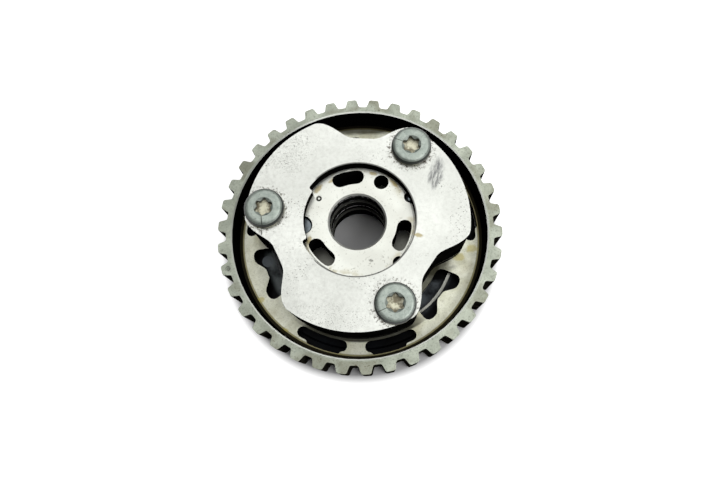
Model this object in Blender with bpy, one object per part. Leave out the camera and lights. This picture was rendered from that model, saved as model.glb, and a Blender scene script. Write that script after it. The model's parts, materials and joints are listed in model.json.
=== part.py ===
"""Vane-type cam phaser with a toothed belt pulley, modelled as its separate pieces.

Metres, +Z up. The part lies on its back: z = 0 is the rear face of the toothed rim, the rotation
axis is the Z axis, and the cover and its three screws are on top. Angles are in degrees, seen from
the cover side, counter-clockwise from +X.
"""
import math

import bmesh
import bpy
from mathutils import Matrix, Vector

MM = 0.001

# The gap that neighbouring solids keep, and the running gap of what slides or turns
GAP = 0.3 * MM

# Toothed rim of the pulley
TOOTH_COUNT = 38
BELT_PITCH = 9.525 * MM
PITCH_RADIUS = TOOTH_COUNT * BELT_PITCH / (2 * math.pi)
BELT_LINE_OFFSET = 0.69 * MM
TIP_RADIUS = PITCH_RADIUS - BELT_LINE_OFFSET
TOOTH_DEPTH = 3.3 * MM
ROOT_RADIUS = TIP_RADIUS - TOOTH_DEPTH
TOOTH_TIP_WIDTH = 3.7 * MM
TOOTH_ROOT_WIDTH = 5.7 * MM
TOOTH_TIP_ROUND = 0.8 * MM
TOOTH_ROOT_ROUND = 0.8 * MM
TOOTH_START_ANGLE = 7.66
RIM_WIDTH = 19.4 * MM
RIM_WALL = 2.42 * MM
RIM_INNER_RADIUS = ROOT_RADIUS - RIM_WALL
RIM_EDGE_CHAMFER = 0.5 * MM
WALL_DRAFT = 0.5 * MM
TOOTH_MARK_ANGLE = 197.1
TOOTH_MARK_CIRCLE_RADIUS = ROOT_RADIUS + 0.6 * MM

# Web and hub pad of the pulley
WEB_DEPTH = 11.6 * MM
WEB_THICKNESS = 2.9 * MM
PAD_HEIGHT = 3.5 * MM
BACK_POCKET_RADIUS = RIM_INNER_RADIUS - 1.2 * MM

# Lobed outline shared by the cover, the stator and the hub pad
LOBE_COUNT = 3
SCREW_ANGLE = 173.3
SCREW_CIRCLE_RADIUS = 35.3 * MM
SCREW_EDGE_WALL = 7.3 * MM
LOBE_RADIUS = SCREW_CIRCLE_RADIUS + SCREW_EDGE_WALL
SCALLOP_DEPTH = 9.5 * MM
SCALLOP_RADIUS = LOBE_RADIUS - SCALLOP_DEPTH
LOBE_TAIL_ANGLE = -60.0
SCALLOP_START_ANGLE = -80.0
SCALLOP_END_ANGLE = -95.0
SCALLOP_HOLLOW = 0.45 * MM
SCALLOP_HOLLOW_HALF_ANGLE = 9.0
LOBE_HEAD_ANGLE = -115.0

# Windows in the web, one beside each screw
WINDOW_ANGLE = 28.8
WINDOW_HALF_ANGLE = 15.1
WINDOW_RIM_WALL = 6.0 * MM
WINDOW_WIDTH = 10.4 * MM
WINDOW_OUTER_RADIUS = RIM_INNER_RADIUS - WINDOW_RIM_WALL
WINDOW_INNER_RADIUS = WINDOW_OUTER_RADIUS - WINDOW_WIDTH
WINDOW_CORNER = 0.25 * WINDOW_WIDTH
WINDOW_BULGE = 0.375 * WINDOW_WIDTH
BULGE_FLAT_ANGLE = 2.0
BULGE_FOOT_ANGLE = 9.6

# Stepped slots in the web, a mirrored pair under each lobe
SLOT_PAIR_ANGLE = -25.2
SLOT_OFFSET_ANGLE = 17.8
SLOT_HALF_ANGLE = 13.3
SLOT_RIM_WALL = 3.1 * MM
SLOT_WIDTH = 4.5 * MM
SLOT_OUTER_RADIUS = RIM_INNER_RADIUS - SLOT_RIM_WALL
SLOT_INNER_RADIUS = SLOT_OUTER_RADIUS - SLOT_WIDTH
SLOT_CORNER = 0.48 * SLOT_WIDTH
SLOT_STEP_OFFSET_ANGLE = 16.0
SLOT_STEP_HALF_ANGLE = 7.7
SLOT_STEP_RADIUS = SLOT_OUTER_RADIUS + 1.0 * MM

# Stack of the vane chamber
STATOR_HEIGHT = 16.7 * MM
COVER_THICKNESS = 4.9 * MM
COVER_RELIEF_DEPTH = 1.0 * MM

# Vane chambers, angles from their lobe's screw
CHAMBER_WALL = 3.7 * MM
CHAMBER_RADIUS = LOBE_RADIUS - CHAMBER_WALL
CHAMBER_START_ANGLE = -12.5
CHAMBER_CORNER = 1.5 * MM
ROTOR_TRAVEL_ANGLE = 25.0
STOP_GAP_ANGLE = 0.5
VANE_ANGLE_WIDTH = 24.0

# Rotor
VANE_LENGTH = 11.6 * MM
VANE_TIP_RADIUS = CHAMBER_RADIUS - GAP
HUB_RADIUS = VANE_TIP_RADIUS - VANE_LENGTH
BOSS_RADIUS = HUB_RADIUS - 5.5 * MM
BOSS_HEIGHT = 1.0 * MM
BORE_RADIUS = 10.8 * MM
BORE_CHAMFER = 0.6 * MM
OIL_GROOVE_DEPTH = 0.9 * MM
OIL_GROOVES = ((-0.7 * MM, 3.4 * MM), (9.0 * MM, 12.1 * MM))
OIL_WAY_HEIGHTS = (2.2 * MM, 10.5 * MM)
OIL_WAY_RADIUS = 1.2 * MM
OIL_WAY_VANE_ANGLE = 15.2
JOURNAL_WALL = 4.4 * MM
JOURNAL_RADIUS = BORE_RADIUS + JOURNAL_WALL
COUNTERBORE_RADIUS = BORE_RADIUS + 1.4 * MM
COUNTERBORE_DEPTH = 6.9 * MM
ARBOR_STEP = 0.6 * MM
ARBOR_RADIUS = JOURNAL_RADIUS - ARBOR_STEP
SEAT_HEIGHT = 0.5 * MM
POCKET_ANGLE = 73.3
POCKET_HALF_ANGLE = 19.6
POCKET_WIDTH = 5.6 * MM
POCKET_OUTER_RADIUS = BOSS_RADIUS - 0.6 * MM
POCKET_INNER_RADIUS = POCKET_OUTER_RADIUS - POCKET_WIDTH
POCKET_CORNER = 0.45 * POCKET_WIDTH
POCKET_DEPTH = 14.0 * MM
TIMING_HOLE_ANGLE = 59.6
TIMING_HOLE_CIRCLE_RADIUS = (POCKET_INNER_RADIUS + POCKET_OUTER_RADIUS) / 2 + 0.3 * MM
TIMING_HOLE_RADIUS = 2.9 * MM
TIMING_HOLE_DEPTH = 12.0 * MM
GALLERY_ANGLES = (25.3, 314.1)
GALLERY_CIRCLE_RADIUS = BOSS_RADIUS + 1.1 * MM
GALLERY_RADIUS = 2.4 * MM
GALLERY_DEPTH = 6.4 * MM
GALLERY_BALL_RADIUS = GALLERY_RADIUS - GAP
DOWEL_HOLE_CIRCLE_RADIUS = COUNTERBORE_RADIUS + 0.1 * MM
DOWEL_HOLE_RADIUS = 1.1 * MM
DOWEL_HOLE_DEPTH = COUNTERBORE_DEPTH + 2.6 * MM
ROTOR_MARK_ANGLE = 147.5
ROTOR_MARK_CIRCLE_RADIUS = 17.7 * MM

# Opening of the cover, which clears the rotor's boss
COVER_OPENING_RADIUS = BOSS_RADIUS + 0.7 * MM
COVER_TAB_RADIUS = COVER_OPENING_RADIUS - 2.0 * MM
COVER_TAB_START_ANGLE = 146.3
COVER_TAB_END_ANGLE = 202.2
COVER_TAB_CORNER = 0.8 * MM

# Ring-shaped inspection marks
MARK_OUTER_RADIUS = 1.15 * MM
MARK_INNER_RADIUS = 0.6 * MM
MARK_DEPTH = 0.4 * MM

# Tip seals on the vanes and seals in the stator's partitions
SEAL_WIDTH = 2.4 * MM
SEAL_HEIGHT = 2.6 * MM
SEAL_GROOVE_DEPTH = SEAL_HEIGHT + 0.8 * MM
SEAL_LIP = 0.1 * MM
LEAF_THICKNESS = 0.3 * MM
PARTITION_SEAL_ANGLE = 22.4

# Lock pin in the rotor
LOCK_ANGLE = 183.3
LOCK_CIRCLE_RADIUS = HUB_RADIUS - 6.0 * MM
LOCK_PIN_RADIUS = 3.4 * MM
LOCK_PIN_NOSE_RADIUS = LOCK_PIN_RADIUS - 0.5 * MM
LOCK_PIN_NOSE_LENGTH = 3.2 * MM
LOCK_PIN_LENGTH = 9.5 * MM
LOCK_PIN_WALL = 0.8 * MM
LOCK_PIN_FLOOR = 3.8 * MM
LOCK_PIN_RETRACTION = 0.3 * MM
LOCK_PIN_TRAVEL = 3.8 * MM
LOCK_BUSH_RADIUS = LOCK_PIN_NOSE_RADIUS + 1.7 * MM
LOCK_BUSH_DEPTH = 5.0 * MM
LOCK_SPRING_WIRE_RADIUS = 0.32 * MM
LOCK_SPRING_COIL_RADIUS = 1.85 * MM
LOCK_SPRING_TURNS = 6
LOCK_CAP_THICKNESS = 1.2 * MM
LOCK_CAP_RECESS = 1.4 * MM
LOCK_VENT_RADIUS = 0.7 * MM

# Cover screws
SCREW_SHANK_RADIUS = 3.8 * MM
SCREW_HEAD_RADIUS = 7.7 * MM
SCREW_HEAD_HEIGHT = 3.0 * MM
SCREW_HEAD_ROUND = 1.9 * MM
SCREW_TIP_CHAMFER = 0.8 * MM
STAR_TIP_RADIUS = 3.6 * MM
STAR_ROOT_RADIUS = 2.6 * MM
STAR_DEPTH = 2.5 * MM
SOCKET_MOUTH_RADIUS = STAR_TIP_RADIUS + 0.15 * MM
SOCKET_MOUTH_DEPTH = 0.7 * MM
STAR_PHASES = (24.0, 28.0, 36.0)

# Locating pins between the pulley and the stator
LOCATING_PIN_RADIUS = 1.7 * MM
LOCATING_PIN_LENGTH = 7.0 * MM
LOCATING_PIN_ANGLE = 14.0
LOCATING_PIN_CIRCLE_RADIUS = SCREW_CIRCLE_RADIUS - 3.9 * MM

# Bias spring behind the web, and what holds it
SPRING_STRIP_THICKNESS = 1.2 * MM
SPRING_STRIP_HEIGHT = 2.4 * MM
SPRING_OUTER_RADIUS = SCREW_CIRCLE_RADIUS + 5.6 * MM
SPRING_END_DIP = 1.2 * MM
SPRING_END_DIP_ANGLE = 16.0
SPRING_TURNS = 4.2
SPRING_OUTER_END_ANGLE = 303.2
SPRING_STEP = 12.0
SPRING_TANG_LENGTH = 1.3 * MM
SPRING_SLOT_WIDTH = 2.4 * MM
ANCHOR_RADIUS = 1.3 * MM
SPRING_COVER_RADIUS = BACK_POCKET_RADIUS - 2 * GAP
SPRING_COVER_THICKNESS = 0.8 * MM
COVER_GROOVE_RADIUS = BACK_POCKET_RADIUS - 3.7 * MM
COVER_GROOVE_WIDTH = 0.7 * MM
COVER_GROOVE_DEPTH = 0.35 * MM
DISH_ANGLE = 192.8
DISH_CIRCLE_RADIUS = COVER_GROOVE_RADIUS - 5.6 * MM
DISH_RADIUS = 2.8 * MM
DISH_FLOOR_RADIUS = 1.3 * MM
DISH_DEPTH = 0.45 * MM
RIVET_ANGLE = -66.0
RIVET_CIRCLE_RADIUS = COVER_GROOVE_RADIUS - 2.6 * MM
RIVET_SHANK_RADIUS = 1.7 * MM
RIVET_HEAD_RADIUS = 2.5 * MM
RIVET_HEAD_HEIGHT = 0.5 * MM
RIVET_SKIN = 0.8 * MM

# Facets
ARC_STEP = 5.0
FLANK_STEP = 1.6
LOBE_STEP = 3.0
HOLE_STEP = 12.0
PIN_STEP = 15.0
SMALL_PIN_STEP = 18.0

# Levels worked out from the sizes above
WEB_FRONT = RIM_WIDTH - WEB_DEPTH
WEB_BACK = WEB_FRONT - WEB_THICKNESS
PAD_FRONT = WEB_FRONT + PAD_HEIGHT
STATOR_BACK = PAD_FRONT + GAP
STATOR_FRONT = STATOR_BACK + STATOR_HEIGHT
COVER_BACK = STATOR_FRONT + GAP
COVER_FRONT = COVER_BACK + COVER_THICKNESS
ROTOR_BACK = STATOR_BACK
ROTOR_FRONT = STATOR_FRONT
BOSS_FRONT = ROTOR_FRONT + BOSS_HEIGHT
COVER_STEP = COVER_BACK + COVER_RELIEF_DEPTH
SPRING_TOP = WEB_BACK - GAP
SPRING_BOTTOM = SPRING_TOP - SPRING_STRIP_HEIGHT
SPRING_COVER_TOP = SPRING_BOTTOM - GAP
SPRING_COVER_BOTTOM = SPRING_COVER_TOP - SPRING_COVER_THICKNESS
VANE_CENTRE_ANGLE = CHAMBER_START_ANGLE - STOP_GAP_ANGLE - VANE_ANGLE_WIDTH / 2
CHAMBER_END_ANGLE = CHAMBER_START_ANGLE - VANE_ANGLE_WIDTH - ROTOR_TRAVEL_ANGLE - 2 * STOP_GAP_ANGLE
LOBE_ANGLES = [SCREW_ANGLE + 360.0 / LOBE_COUNT * k for k in range(LOBE_COUNT)]

# Outlines, as points in the XY plane

def polar(radius, degrees):
    """The point at a radius and an angle about the part's axis."""
    a = math.radians(degrees)
    return Vector((radius * math.cos(a), radius * math.sin(a)))


def steps_between(start, end, step=ARC_STEP):
    """Evenly spaced values from start to end, no further apart than step."""
    count = max(1, math.ceil(abs(end - start) / step - 1e-9))
    return [start + (end - start) * i / count for i in range(count + 1)]


def smooth_step(value, low, high):
    """0 at low, 1 at high and level at both, for a flank that blends two radii."""
    t = min(1.0, max(0.0, (value - low) / (high - low)))
    return t * t * (3 - 2 * t)


def circle(radius, centre=(0.0, 0.0), step=ARC_STEP):
    """A full circle, counter-clockwise."""
    count = round(360 / step)
    middle = Vector(centre)
    return [middle + polar(radius, 360.0 * i / count) for i in range(count)]


def lobe_profile_radius(from_screw):
    """Radius of the lobed outline at an angle from the screw, over one lobe's 120 degrees."""
    fall = smooth_step(-from_screw, -LOBE_TAIL_ANGLE, -SCALLOP_START_ANGLE)
    rise = smooth_step(-from_screw, -SCALLOP_END_ANGLE, -LOBE_HEAD_ANGLE)
    bottom = (SCALLOP_START_ANGLE + SCALLOP_END_ANGLE) / 2
    from_bottom = (from_screw - bottom) / SCALLOP_HOLLOW_HALF_ANGLE
    hollow = SCALLOP_HOLLOW * max(0.0, 1.0 - from_bottom * from_bottom)
    return LOBE_RADIUS - (LOBE_RADIUS - SCALLOP_RADIUS) * (fall - rise) - hollow


def lobed_outline():
    """Three lobes, each with its screw at the counter-clockwise end, and a scallop after each."""
    breaks = [LOBE_TAIL_ANGLE, SCALLOP_START_ANGLE, SCALLOP_END_ANGLE, LOBE_HEAD_ANGLE,
              LOBE_TAIL_ANGLE - 360.0 / LOBE_COUNT]
    points = []
    for screw in LOBE_ANGLES:
        lobe = []
        for i, (start, end) in enumerate(zip(breaks, breaks[1:])):
            is_lobe = i == 3
            lobe += steps_between(start, end, LOBE_STEP if is_lobe else FLANK_STEP)[:-1]
        points += [polar(lobe_profile_radius(wrap_to_lobe(a)), screw + a) for a in lobe]
    return sorted(points, key=lambda p: math.atan2(p.y, p.x))


def wrap_to_lobe(angle):
    """The same place on the lobed outline, measured from the screw that the profile is given for."""
    pitch = 360.0 / LOBE_COUNT
    return (angle - LOBE_TAIL_ANGLE) % pitch + LOBE_TAIL_ANGLE - pitch


def tooth_outline():
    """Trapezoid teeth with rounded tips and roots, around the whole rim."""
    points = []
    pitch_angle = 360.0 / TOOTH_COUNT
    tip_half = math.degrees(TOOTH_TIP_WIDTH / 2 / TIP_RADIUS)
    root_half = math.degrees(TOOTH_ROOT_WIDTH / 2 / ROOT_RADIUS)
    for tooth in range(TOOTH_COUNT):
        centre = TOOTH_START_ANGLE + tooth * pitch_angle
        corners = [(polar(ROOT_RADIUS, centre - root_half), TOOTH_ROOT_ROUND),
                   (polar(TIP_RADIUS, centre - tip_half), TOOTH_TIP_ROUND),
                   (polar(TIP_RADIUS, centre + tip_half), TOOTH_TIP_ROUND),
                   (polar(ROOT_RADIUS, centre + root_half), TOOTH_ROOT_ROUND)]
        before = polar(ROOT_RADIUS, centre - pitch_angle + root_half)
        after = polar(ROOT_RADIUS, centre + pitch_angle - root_half)
        line = [before] + [corner for corner, _ in corners] + [after]
        for i, (corner, radius) in enumerate(corners):
            points += rounded_corner(line[i], corner, line[i + 2], radius, 2)
    return points


def rounded_corner(before, corner, after, radius, segments):
    """Points of an arc that rounds the corner between its two neighbours."""
    to_before = (before - corner).normalized()
    to_after = (after - corner).normalized()
    half = math.acos(max(-1.0, min(1.0, to_before.dot(to_after)))) / 2
    centre = corner + (to_before + to_after).normalized() * (radius / math.sin(half))
    start = corner + to_before * (radius / math.tan(half)) - centre
    turn = math.pi - 2 * half
    if to_before.x * to_after.y - to_before.y * to_after.x > 0:
        turn = -turn
    points = []
    for i in range(segments + 1):
        points.append(centre + Matrix.Rotation(turn * i / segments, 2) @ start)
    return points


def arc_slot(centre_angle, half_angle, inner, outer, corner, outer_radius_at=None, step=ARC_STEP):
    """A slot that follows a circle, with rounded corners, counter-clockwise.

    outer_radius_at gives the outer radius at an angle from the slot's middle, for a shaped edge."""
    edge = outer_radius_at or (lambda offset: outer)
    points = []
    turns = (0, 30, 60, 90)
    for degrees in turns:
        a = math.radians(degrees)
        offset = half_angle - math.degrees((corner - corner * math.sin(a)) / inner)
        points.append((inner + corner - corner * math.cos(a), offset))
    for degrees in reversed(turns):
        a = math.radians(degrees)
        offset = half_angle - math.degrees((corner - corner * math.sin(a)) / outer)
        points.append((outer - corner + corner * math.cos(a), offset))
    reach = half_angle - math.degrees(corner / outer)
    points += [(edge(offset), offset) for offset in steps_between(reach, -reach, step)[1:-1]]
    mirrored = [(radius, -offset) for radius, offset in reversed(points[:8])]
    points += mirrored
    inner_reach = half_angle - math.degrees(corner / inner)
    points += [(inner, offset) for offset in steps_between(-inner_reach, inner_reach, 2 * ARC_STEP)[1:-1]]
    return [polar(radius, centre_angle + offset) for radius, offset in points]


def window_outline(screw):
    """A window in the web, whose outer edge bulges inward in the middle."""
    def outer_edge(offset):
        bulge = 1 - smooth_step(abs(offset), BULGE_FLAT_ANGLE, BULGE_FOOT_ANGLE)
        return WINDOW_OUTER_RADIUS - WINDOW_BULGE * bulge
    return arc_slot(screw + WINDOW_ANGLE, WINDOW_HALF_ANGLE, WINDOW_INNER_RADIUS, WINDOW_OUTER_RADIUS,
                    WINDOW_CORNER, outer_edge, 1.6)


def slot_outline(screw, side):
    """A slot under a lobe's rim, with a shallow step outward over most of its length."""
    middle = screw + SLOT_PAIR_ANGLE + side * SLOT_OFFSET_ANGLE
    step_middle = (SLOT_STEP_OFFSET_ANGLE - SLOT_OFFSET_ANGLE) * side
    reach = SLOT_HALF_ANGLE - math.degrees(SLOT_CORNER / SLOT_OUTER_RADIUS)
    low = max(step_middle - SLOT_STEP_HALF_ANGLE, -reach + 0.4)
    high = min(step_middle + SLOT_STEP_HALF_ANGLE, reach - 0.4)
    ramp = math.degrees((SLOT_STEP_RADIUS - SLOT_OUTER_RADIUS) / SLOT_OUTER_RADIUS)
    plain = arc_slot(0.0, SLOT_HALF_ANGLE, SLOT_INNER_RADIUS, SLOT_OUTER_RADIUS, SLOT_CORNER)
    outer_run = [polar(SLOT_OUTER_RADIUS, high + ramp)]
    outer_run += [polar(SLOT_STEP_RADIUS, a) for a in steps_between(high, low)]
    outer_run.append(polar(SLOT_OUTER_RADIUS, low - ramp))
    kept_start = plain[:8]
    rest_start = next(i for i in range(8, len(plain)) if math.degrees(math.atan2(
        plain[i].y, plain[i].x)) < -reach + 0.01)
    points = kept_start + outer_run + plain[rest_start:]
    turn = Matrix.Rotation(math.radians(middle), 2)
    return [turn @ p for p in points]


def chamber_outline(screw):
    """One vane chamber, open to the hub's round bore."""
    inner = HUB_RADIUS + GAP
    start = screw + CHAMBER_START_ANGLE
    end = screw + CHAMBER_END_ANGLE
    points = [polar(inner, start)]
    points += rounded_corner(polar(inner, start), polar(CHAMBER_RADIUS, start),
                             polar(CHAMBER_RADIUS, start - ARC_STEP), CHAMBER_CORNER, 2)
    trim = math.degrees(CHAMBER_CORNER / CHAMBER_RADIUS)
    points += [polar(CHAMBER_RADIUS, a) for a in steps_between(start - trim, end + trim)[1:-1]]
    points += rounded_corner(polar(CHAMBER_RADIUS, end + ARC_STEP), polar(CHAMBER_RADIUS, end),
                             polar(inner, end), CHAMBER_CORNER, 2)
    points.append(polar(inner, end))
    return points


def stator_bore_outline():
    """The stator's inside: three chambers joined by three partitions that run on the hub."""
    inner = HUB_RADIUS + GAP
    groove_half = math.degrees((SEAL_WIDTH / 2 + GAP) / inner)
    points = []
    for screw in sorted(LOBE_ANGLES, reverse=True):
        points += chamber_outline(screw)
        seal = screw + PARTITION_SEAL_ANGLE - 360.0 / LOBE_COUNT
        chamber_end = screw + CHAMBER_END_ANGLE
        next_start = screw - 360.0 / LOBE_COUNT + CHAMBER_START_ANGLE
        points += [polar(inner, a) for a in steps_between(chamber_end, seal + groove_half)[1:-1]]
        points += groove_outline(seal, inner, SEAL_GROOVE_DEPTH)
        points += [polar(inner, a) for a in steps_between(seal - groove_half, next_start)[1:-1]]
    return points


def groove_outline(angle, mouth_radius, depth):
    """The four corners of a straight seal groove; depth is negative for one cut into a vane tip."""
    half_width = SEAL_WIDTH / 2 + GAP
    out = polar(1.0, angle)
    side = Vector((-out.y, out.x)) * half_width
    mouth = math.sqrt(mouth_radius ** 2 - half_width ** 2)
    return [out * mouth + side, out * (mouth + depth) + side, out * (mouth + depth) - side,
            out * mouth - side]


def rotor_outline():
    """The rotor's hub with three vanes, each with a seal groove in its tip."""
    points = []
    half = VANE_ANGLE_WIDTH / 2
    groove_half = math.degrees((SEAL_WIDTH / 2 + GAP) / VANE_TIP_RADIUS)
    for screw in sorted(LOBE_ANGLES):
        vane = screw + VANE_CENTRE_ANGLE
        points += [polar(HUB_RADIUS, a) for a in steps_between(vane + half - 360.0 / LOBE_COUNT,
                                                               vane - half)[1:-1]]
        points.append(polar(HUB_RADIUS, vane - half))
        points += rounded_corner(polar(HUB_RADIUS, vane - half), polar(VANE_TIP_RADIUS, vane - half),
                                 polar(VANE_TIP_RADIUS, vane - half + ARC_STEP), CHAMBER_CORNER + GAP, 2)
        trim = math.degrees((CHAMBER_CORNER + GAP) / VANE_TIP_RADIUS)
        points += [polar(VANE_TIP_RADIUS, a)
                   for a in steps_between(vane - half + trim, vane - groove_half)[1:-1]]
        points += list(reversed(groove_outline(vane, VANE_TIP_RADIUS, -SEAL_GROOVE_DEPTH)))
        points += [polar(VANE_TIP_RADIUS, a)
                   for a in steps_between(vane + groove_half, vane + half - trim)[1:-1]]
        points += rounded_corner(polar(VANE_TIP_RADIUS, vane + half - ARC_STEP),
                                 polar(VANE_TIP_RADIUS, vane + half), polar(HUB_RADIUS, vane + half),
                                 CHAMBER_CORNER + GAP, 2)
        points.append(polar(HUB_RADIUS, vane + half))
    return points


def cover_opening_outline():
    """The cover's round opening, which a tab narrows over the lock pin."""
    points = []
    for a in steps_between(COVER_TAB_START_ANGLE, COVER_TAB_END_ANGLE):
        points.append((polar(COVER_TAB_RADIUS, a), None))
    wide = steps_between(COVER_TAB_END_ANGLE, COVER_TAB_START_ANGLE + 360.0)
    corner_end = (polar(COVER_OPENING_RADIUS, COVER_TAB_END_ANGLE), COVER_TAB_CORNER)
    corner_start = (polar(COVER_OPENING_RADIUS, COVER_TAB_START_ANGLE), COVER_TAB_CORNER)
    points[0] = (points[0][0], COVER_TAB_CORNER)
    points[-1] = (points[-1][0], COVER_TAB_CORNER)
    points.append(corner_end)
    points += [(polar(COVER_OPENING_RADIUS, a), None) for a in wide[1:-1]]
    points.append(corner_start)
    rounded = []
    for i, (point, radius) in enumerate(points):
        if radius is None:
            rounded.append(point)
        else:
            rounded += rounded_corner(points[i - 1][0], point, points[(i + 1) % len(points)][0], radius, 2)
    return rounded


def star_outline(centre, phase):
    """Six-lobed socket of a screw."""
    middle = (STAR_TIP_RADIUS + STAR_ROOT_RADIUS) / 2
    swing = (STAR_TIP_RADIUS - STAR_ROOT_RADIUS) / 2
    points = []
    for i in range(36):
        a = 10.0 * i
        radius = middle + swing * math.cos(math.radians(6 * a))
        points.append(Vector(centre) + polar(radius, a + phase))
    return points


# Making solids

def material(name, colour, roughness, metallic):
    """A Principled material with one colour."""
    made = bpy.data.materials.new(name)
    made.use_nodes = True
    shader = made.node_tree.nodes["Principled BSDF"]
    shader.inputs["Base Color"].default_value = (*colour, 1.0)
    shader.inputs["Roughness"].default_value = roughness
    shader.inputs["Metallic"].default_value = metallic
    return made


def new_object(name, mesh_builder, finish, parent=None):
    """Links a named object made from a bmesh, smooth where its faces meet gently."""
    mesh = bpy.data.meshes.new(name)
    bmesh.ops.recalc_face_normals(mesh_builder, faces=mesh_builder.faces)
    mesh_builder.to_mesh(mesh)
    mesh_builder.free()
    mesh.shade_smooth()
    mesh.set_sharp_from_angle(angle=math.radians(30))
    made = bpy.data.objects.new(name, mesh)
    bpy.context.scene.collection.objects.link(made)
    if finish is not None:
        mesh.materials.append(finish)
    if parent is not None:
        made.parent = parent
    return made


def add_plate(bm, outline, low, high, holes=()):
    """A flat plate with straight walls: an outline and its holes, filled and then extruded."""
    edges = []
    for loop in [outline] + list(holes):
        verts = [bm.verts.new((p[0], p[1], low)) for p in loop]
        edges += [bm.edges.new((verts[i], verts[(i + 1) % len(verts)])) for i in range(len(verts))]
    filled = bmesh.ops.triangle_fill(bm, use_beauty=True, use_dissolve=False, edges=edges)
    faces = [g for g in filled["geom"] if isinstance(g, bmesh.types.BMFace)]
    extruded = bmesh.ops.extrude_face_region(bm, geom=faces)
    top = [g for g in extruded["geom"] if isinstance(g, bmesh.types.BMVert)]
    bmesh.ops.translate(bm, verts=top, vec=(0, 0, high - low))


def add_turned(bm, profile, centre=(0.0, 0.0), step=ARC_STEP):
    """A closed turned solid: radius and height pairs, spun about a vertical axis.

    The profile starts and ends with a flat face that reaches the axis, or closes on itself for a ring."""
    count = round(360 / step)
    rings = []
    for radius, height in profile:
        if radius > 0:
            rings.append([bm.verts.new((centre[0] + radius * math.cos(2 * math.pi * i / count),
                                        centre[1] + radius * math.sin(2 * math.pi * i / count), height))
                          for i in range(count)])
    pairs = list(zip(rings, rings[1:]))
    if len(rings) == len(profile):
        pairs.append((rings[-1], rings[0]))
    else:
        bm.faces.new(list(reversed(rings[0])))
        bm.faces.new(rings[-1])
    for lower, upper in pairs:
        for i in range(count):
            j = (i + 1) % count
            bm.faces.new((lower[i], lower[j], upper[j], upper[i]))


def plate_object(name, outline, low, high, finish, holes=(), parent=None):
    """A plate as an object."""
    bm = bmesh.new()
    add_plate(bm, outline, low, high, holes)
    return new_object(name, bm, finish, parent)


def turned_object(name, profile, finish, centre=(0.0, 0.0), step=ARC_STEP, parent=None):
    """A turned solid as an object."""
    bm = bmesh.new()
    add_turned(bm, profile, centre, step)
    return new_object(name, bm, finish, parent)


def as_cutter(made):
    """Marks a helper solid: drawn as wire, and never part of the model."""
    made.hide_render = True
    made.display_type = "WIRE"
    return made


def boolean(target, cutter, operation):
    """Adds an exact Boolean with a helper solid."""
    made = target.modifiers.new(cutter.name, "BOOLEAN")
    made.operation = operation
    made.solver = "EXACT"
    made.use_self = True
    made.object = as_cutter(cutter)


def cylinder_cutter(name, radius, low, high, centre=(0.0, 0.0), step=ARC_STEP):
    """A round cutter."""
    profile = [(0, low), (radius, low), (radius, high), (0, high)]
    return turned_object(name, profile, None, centre, step)


# The pieces

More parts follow.
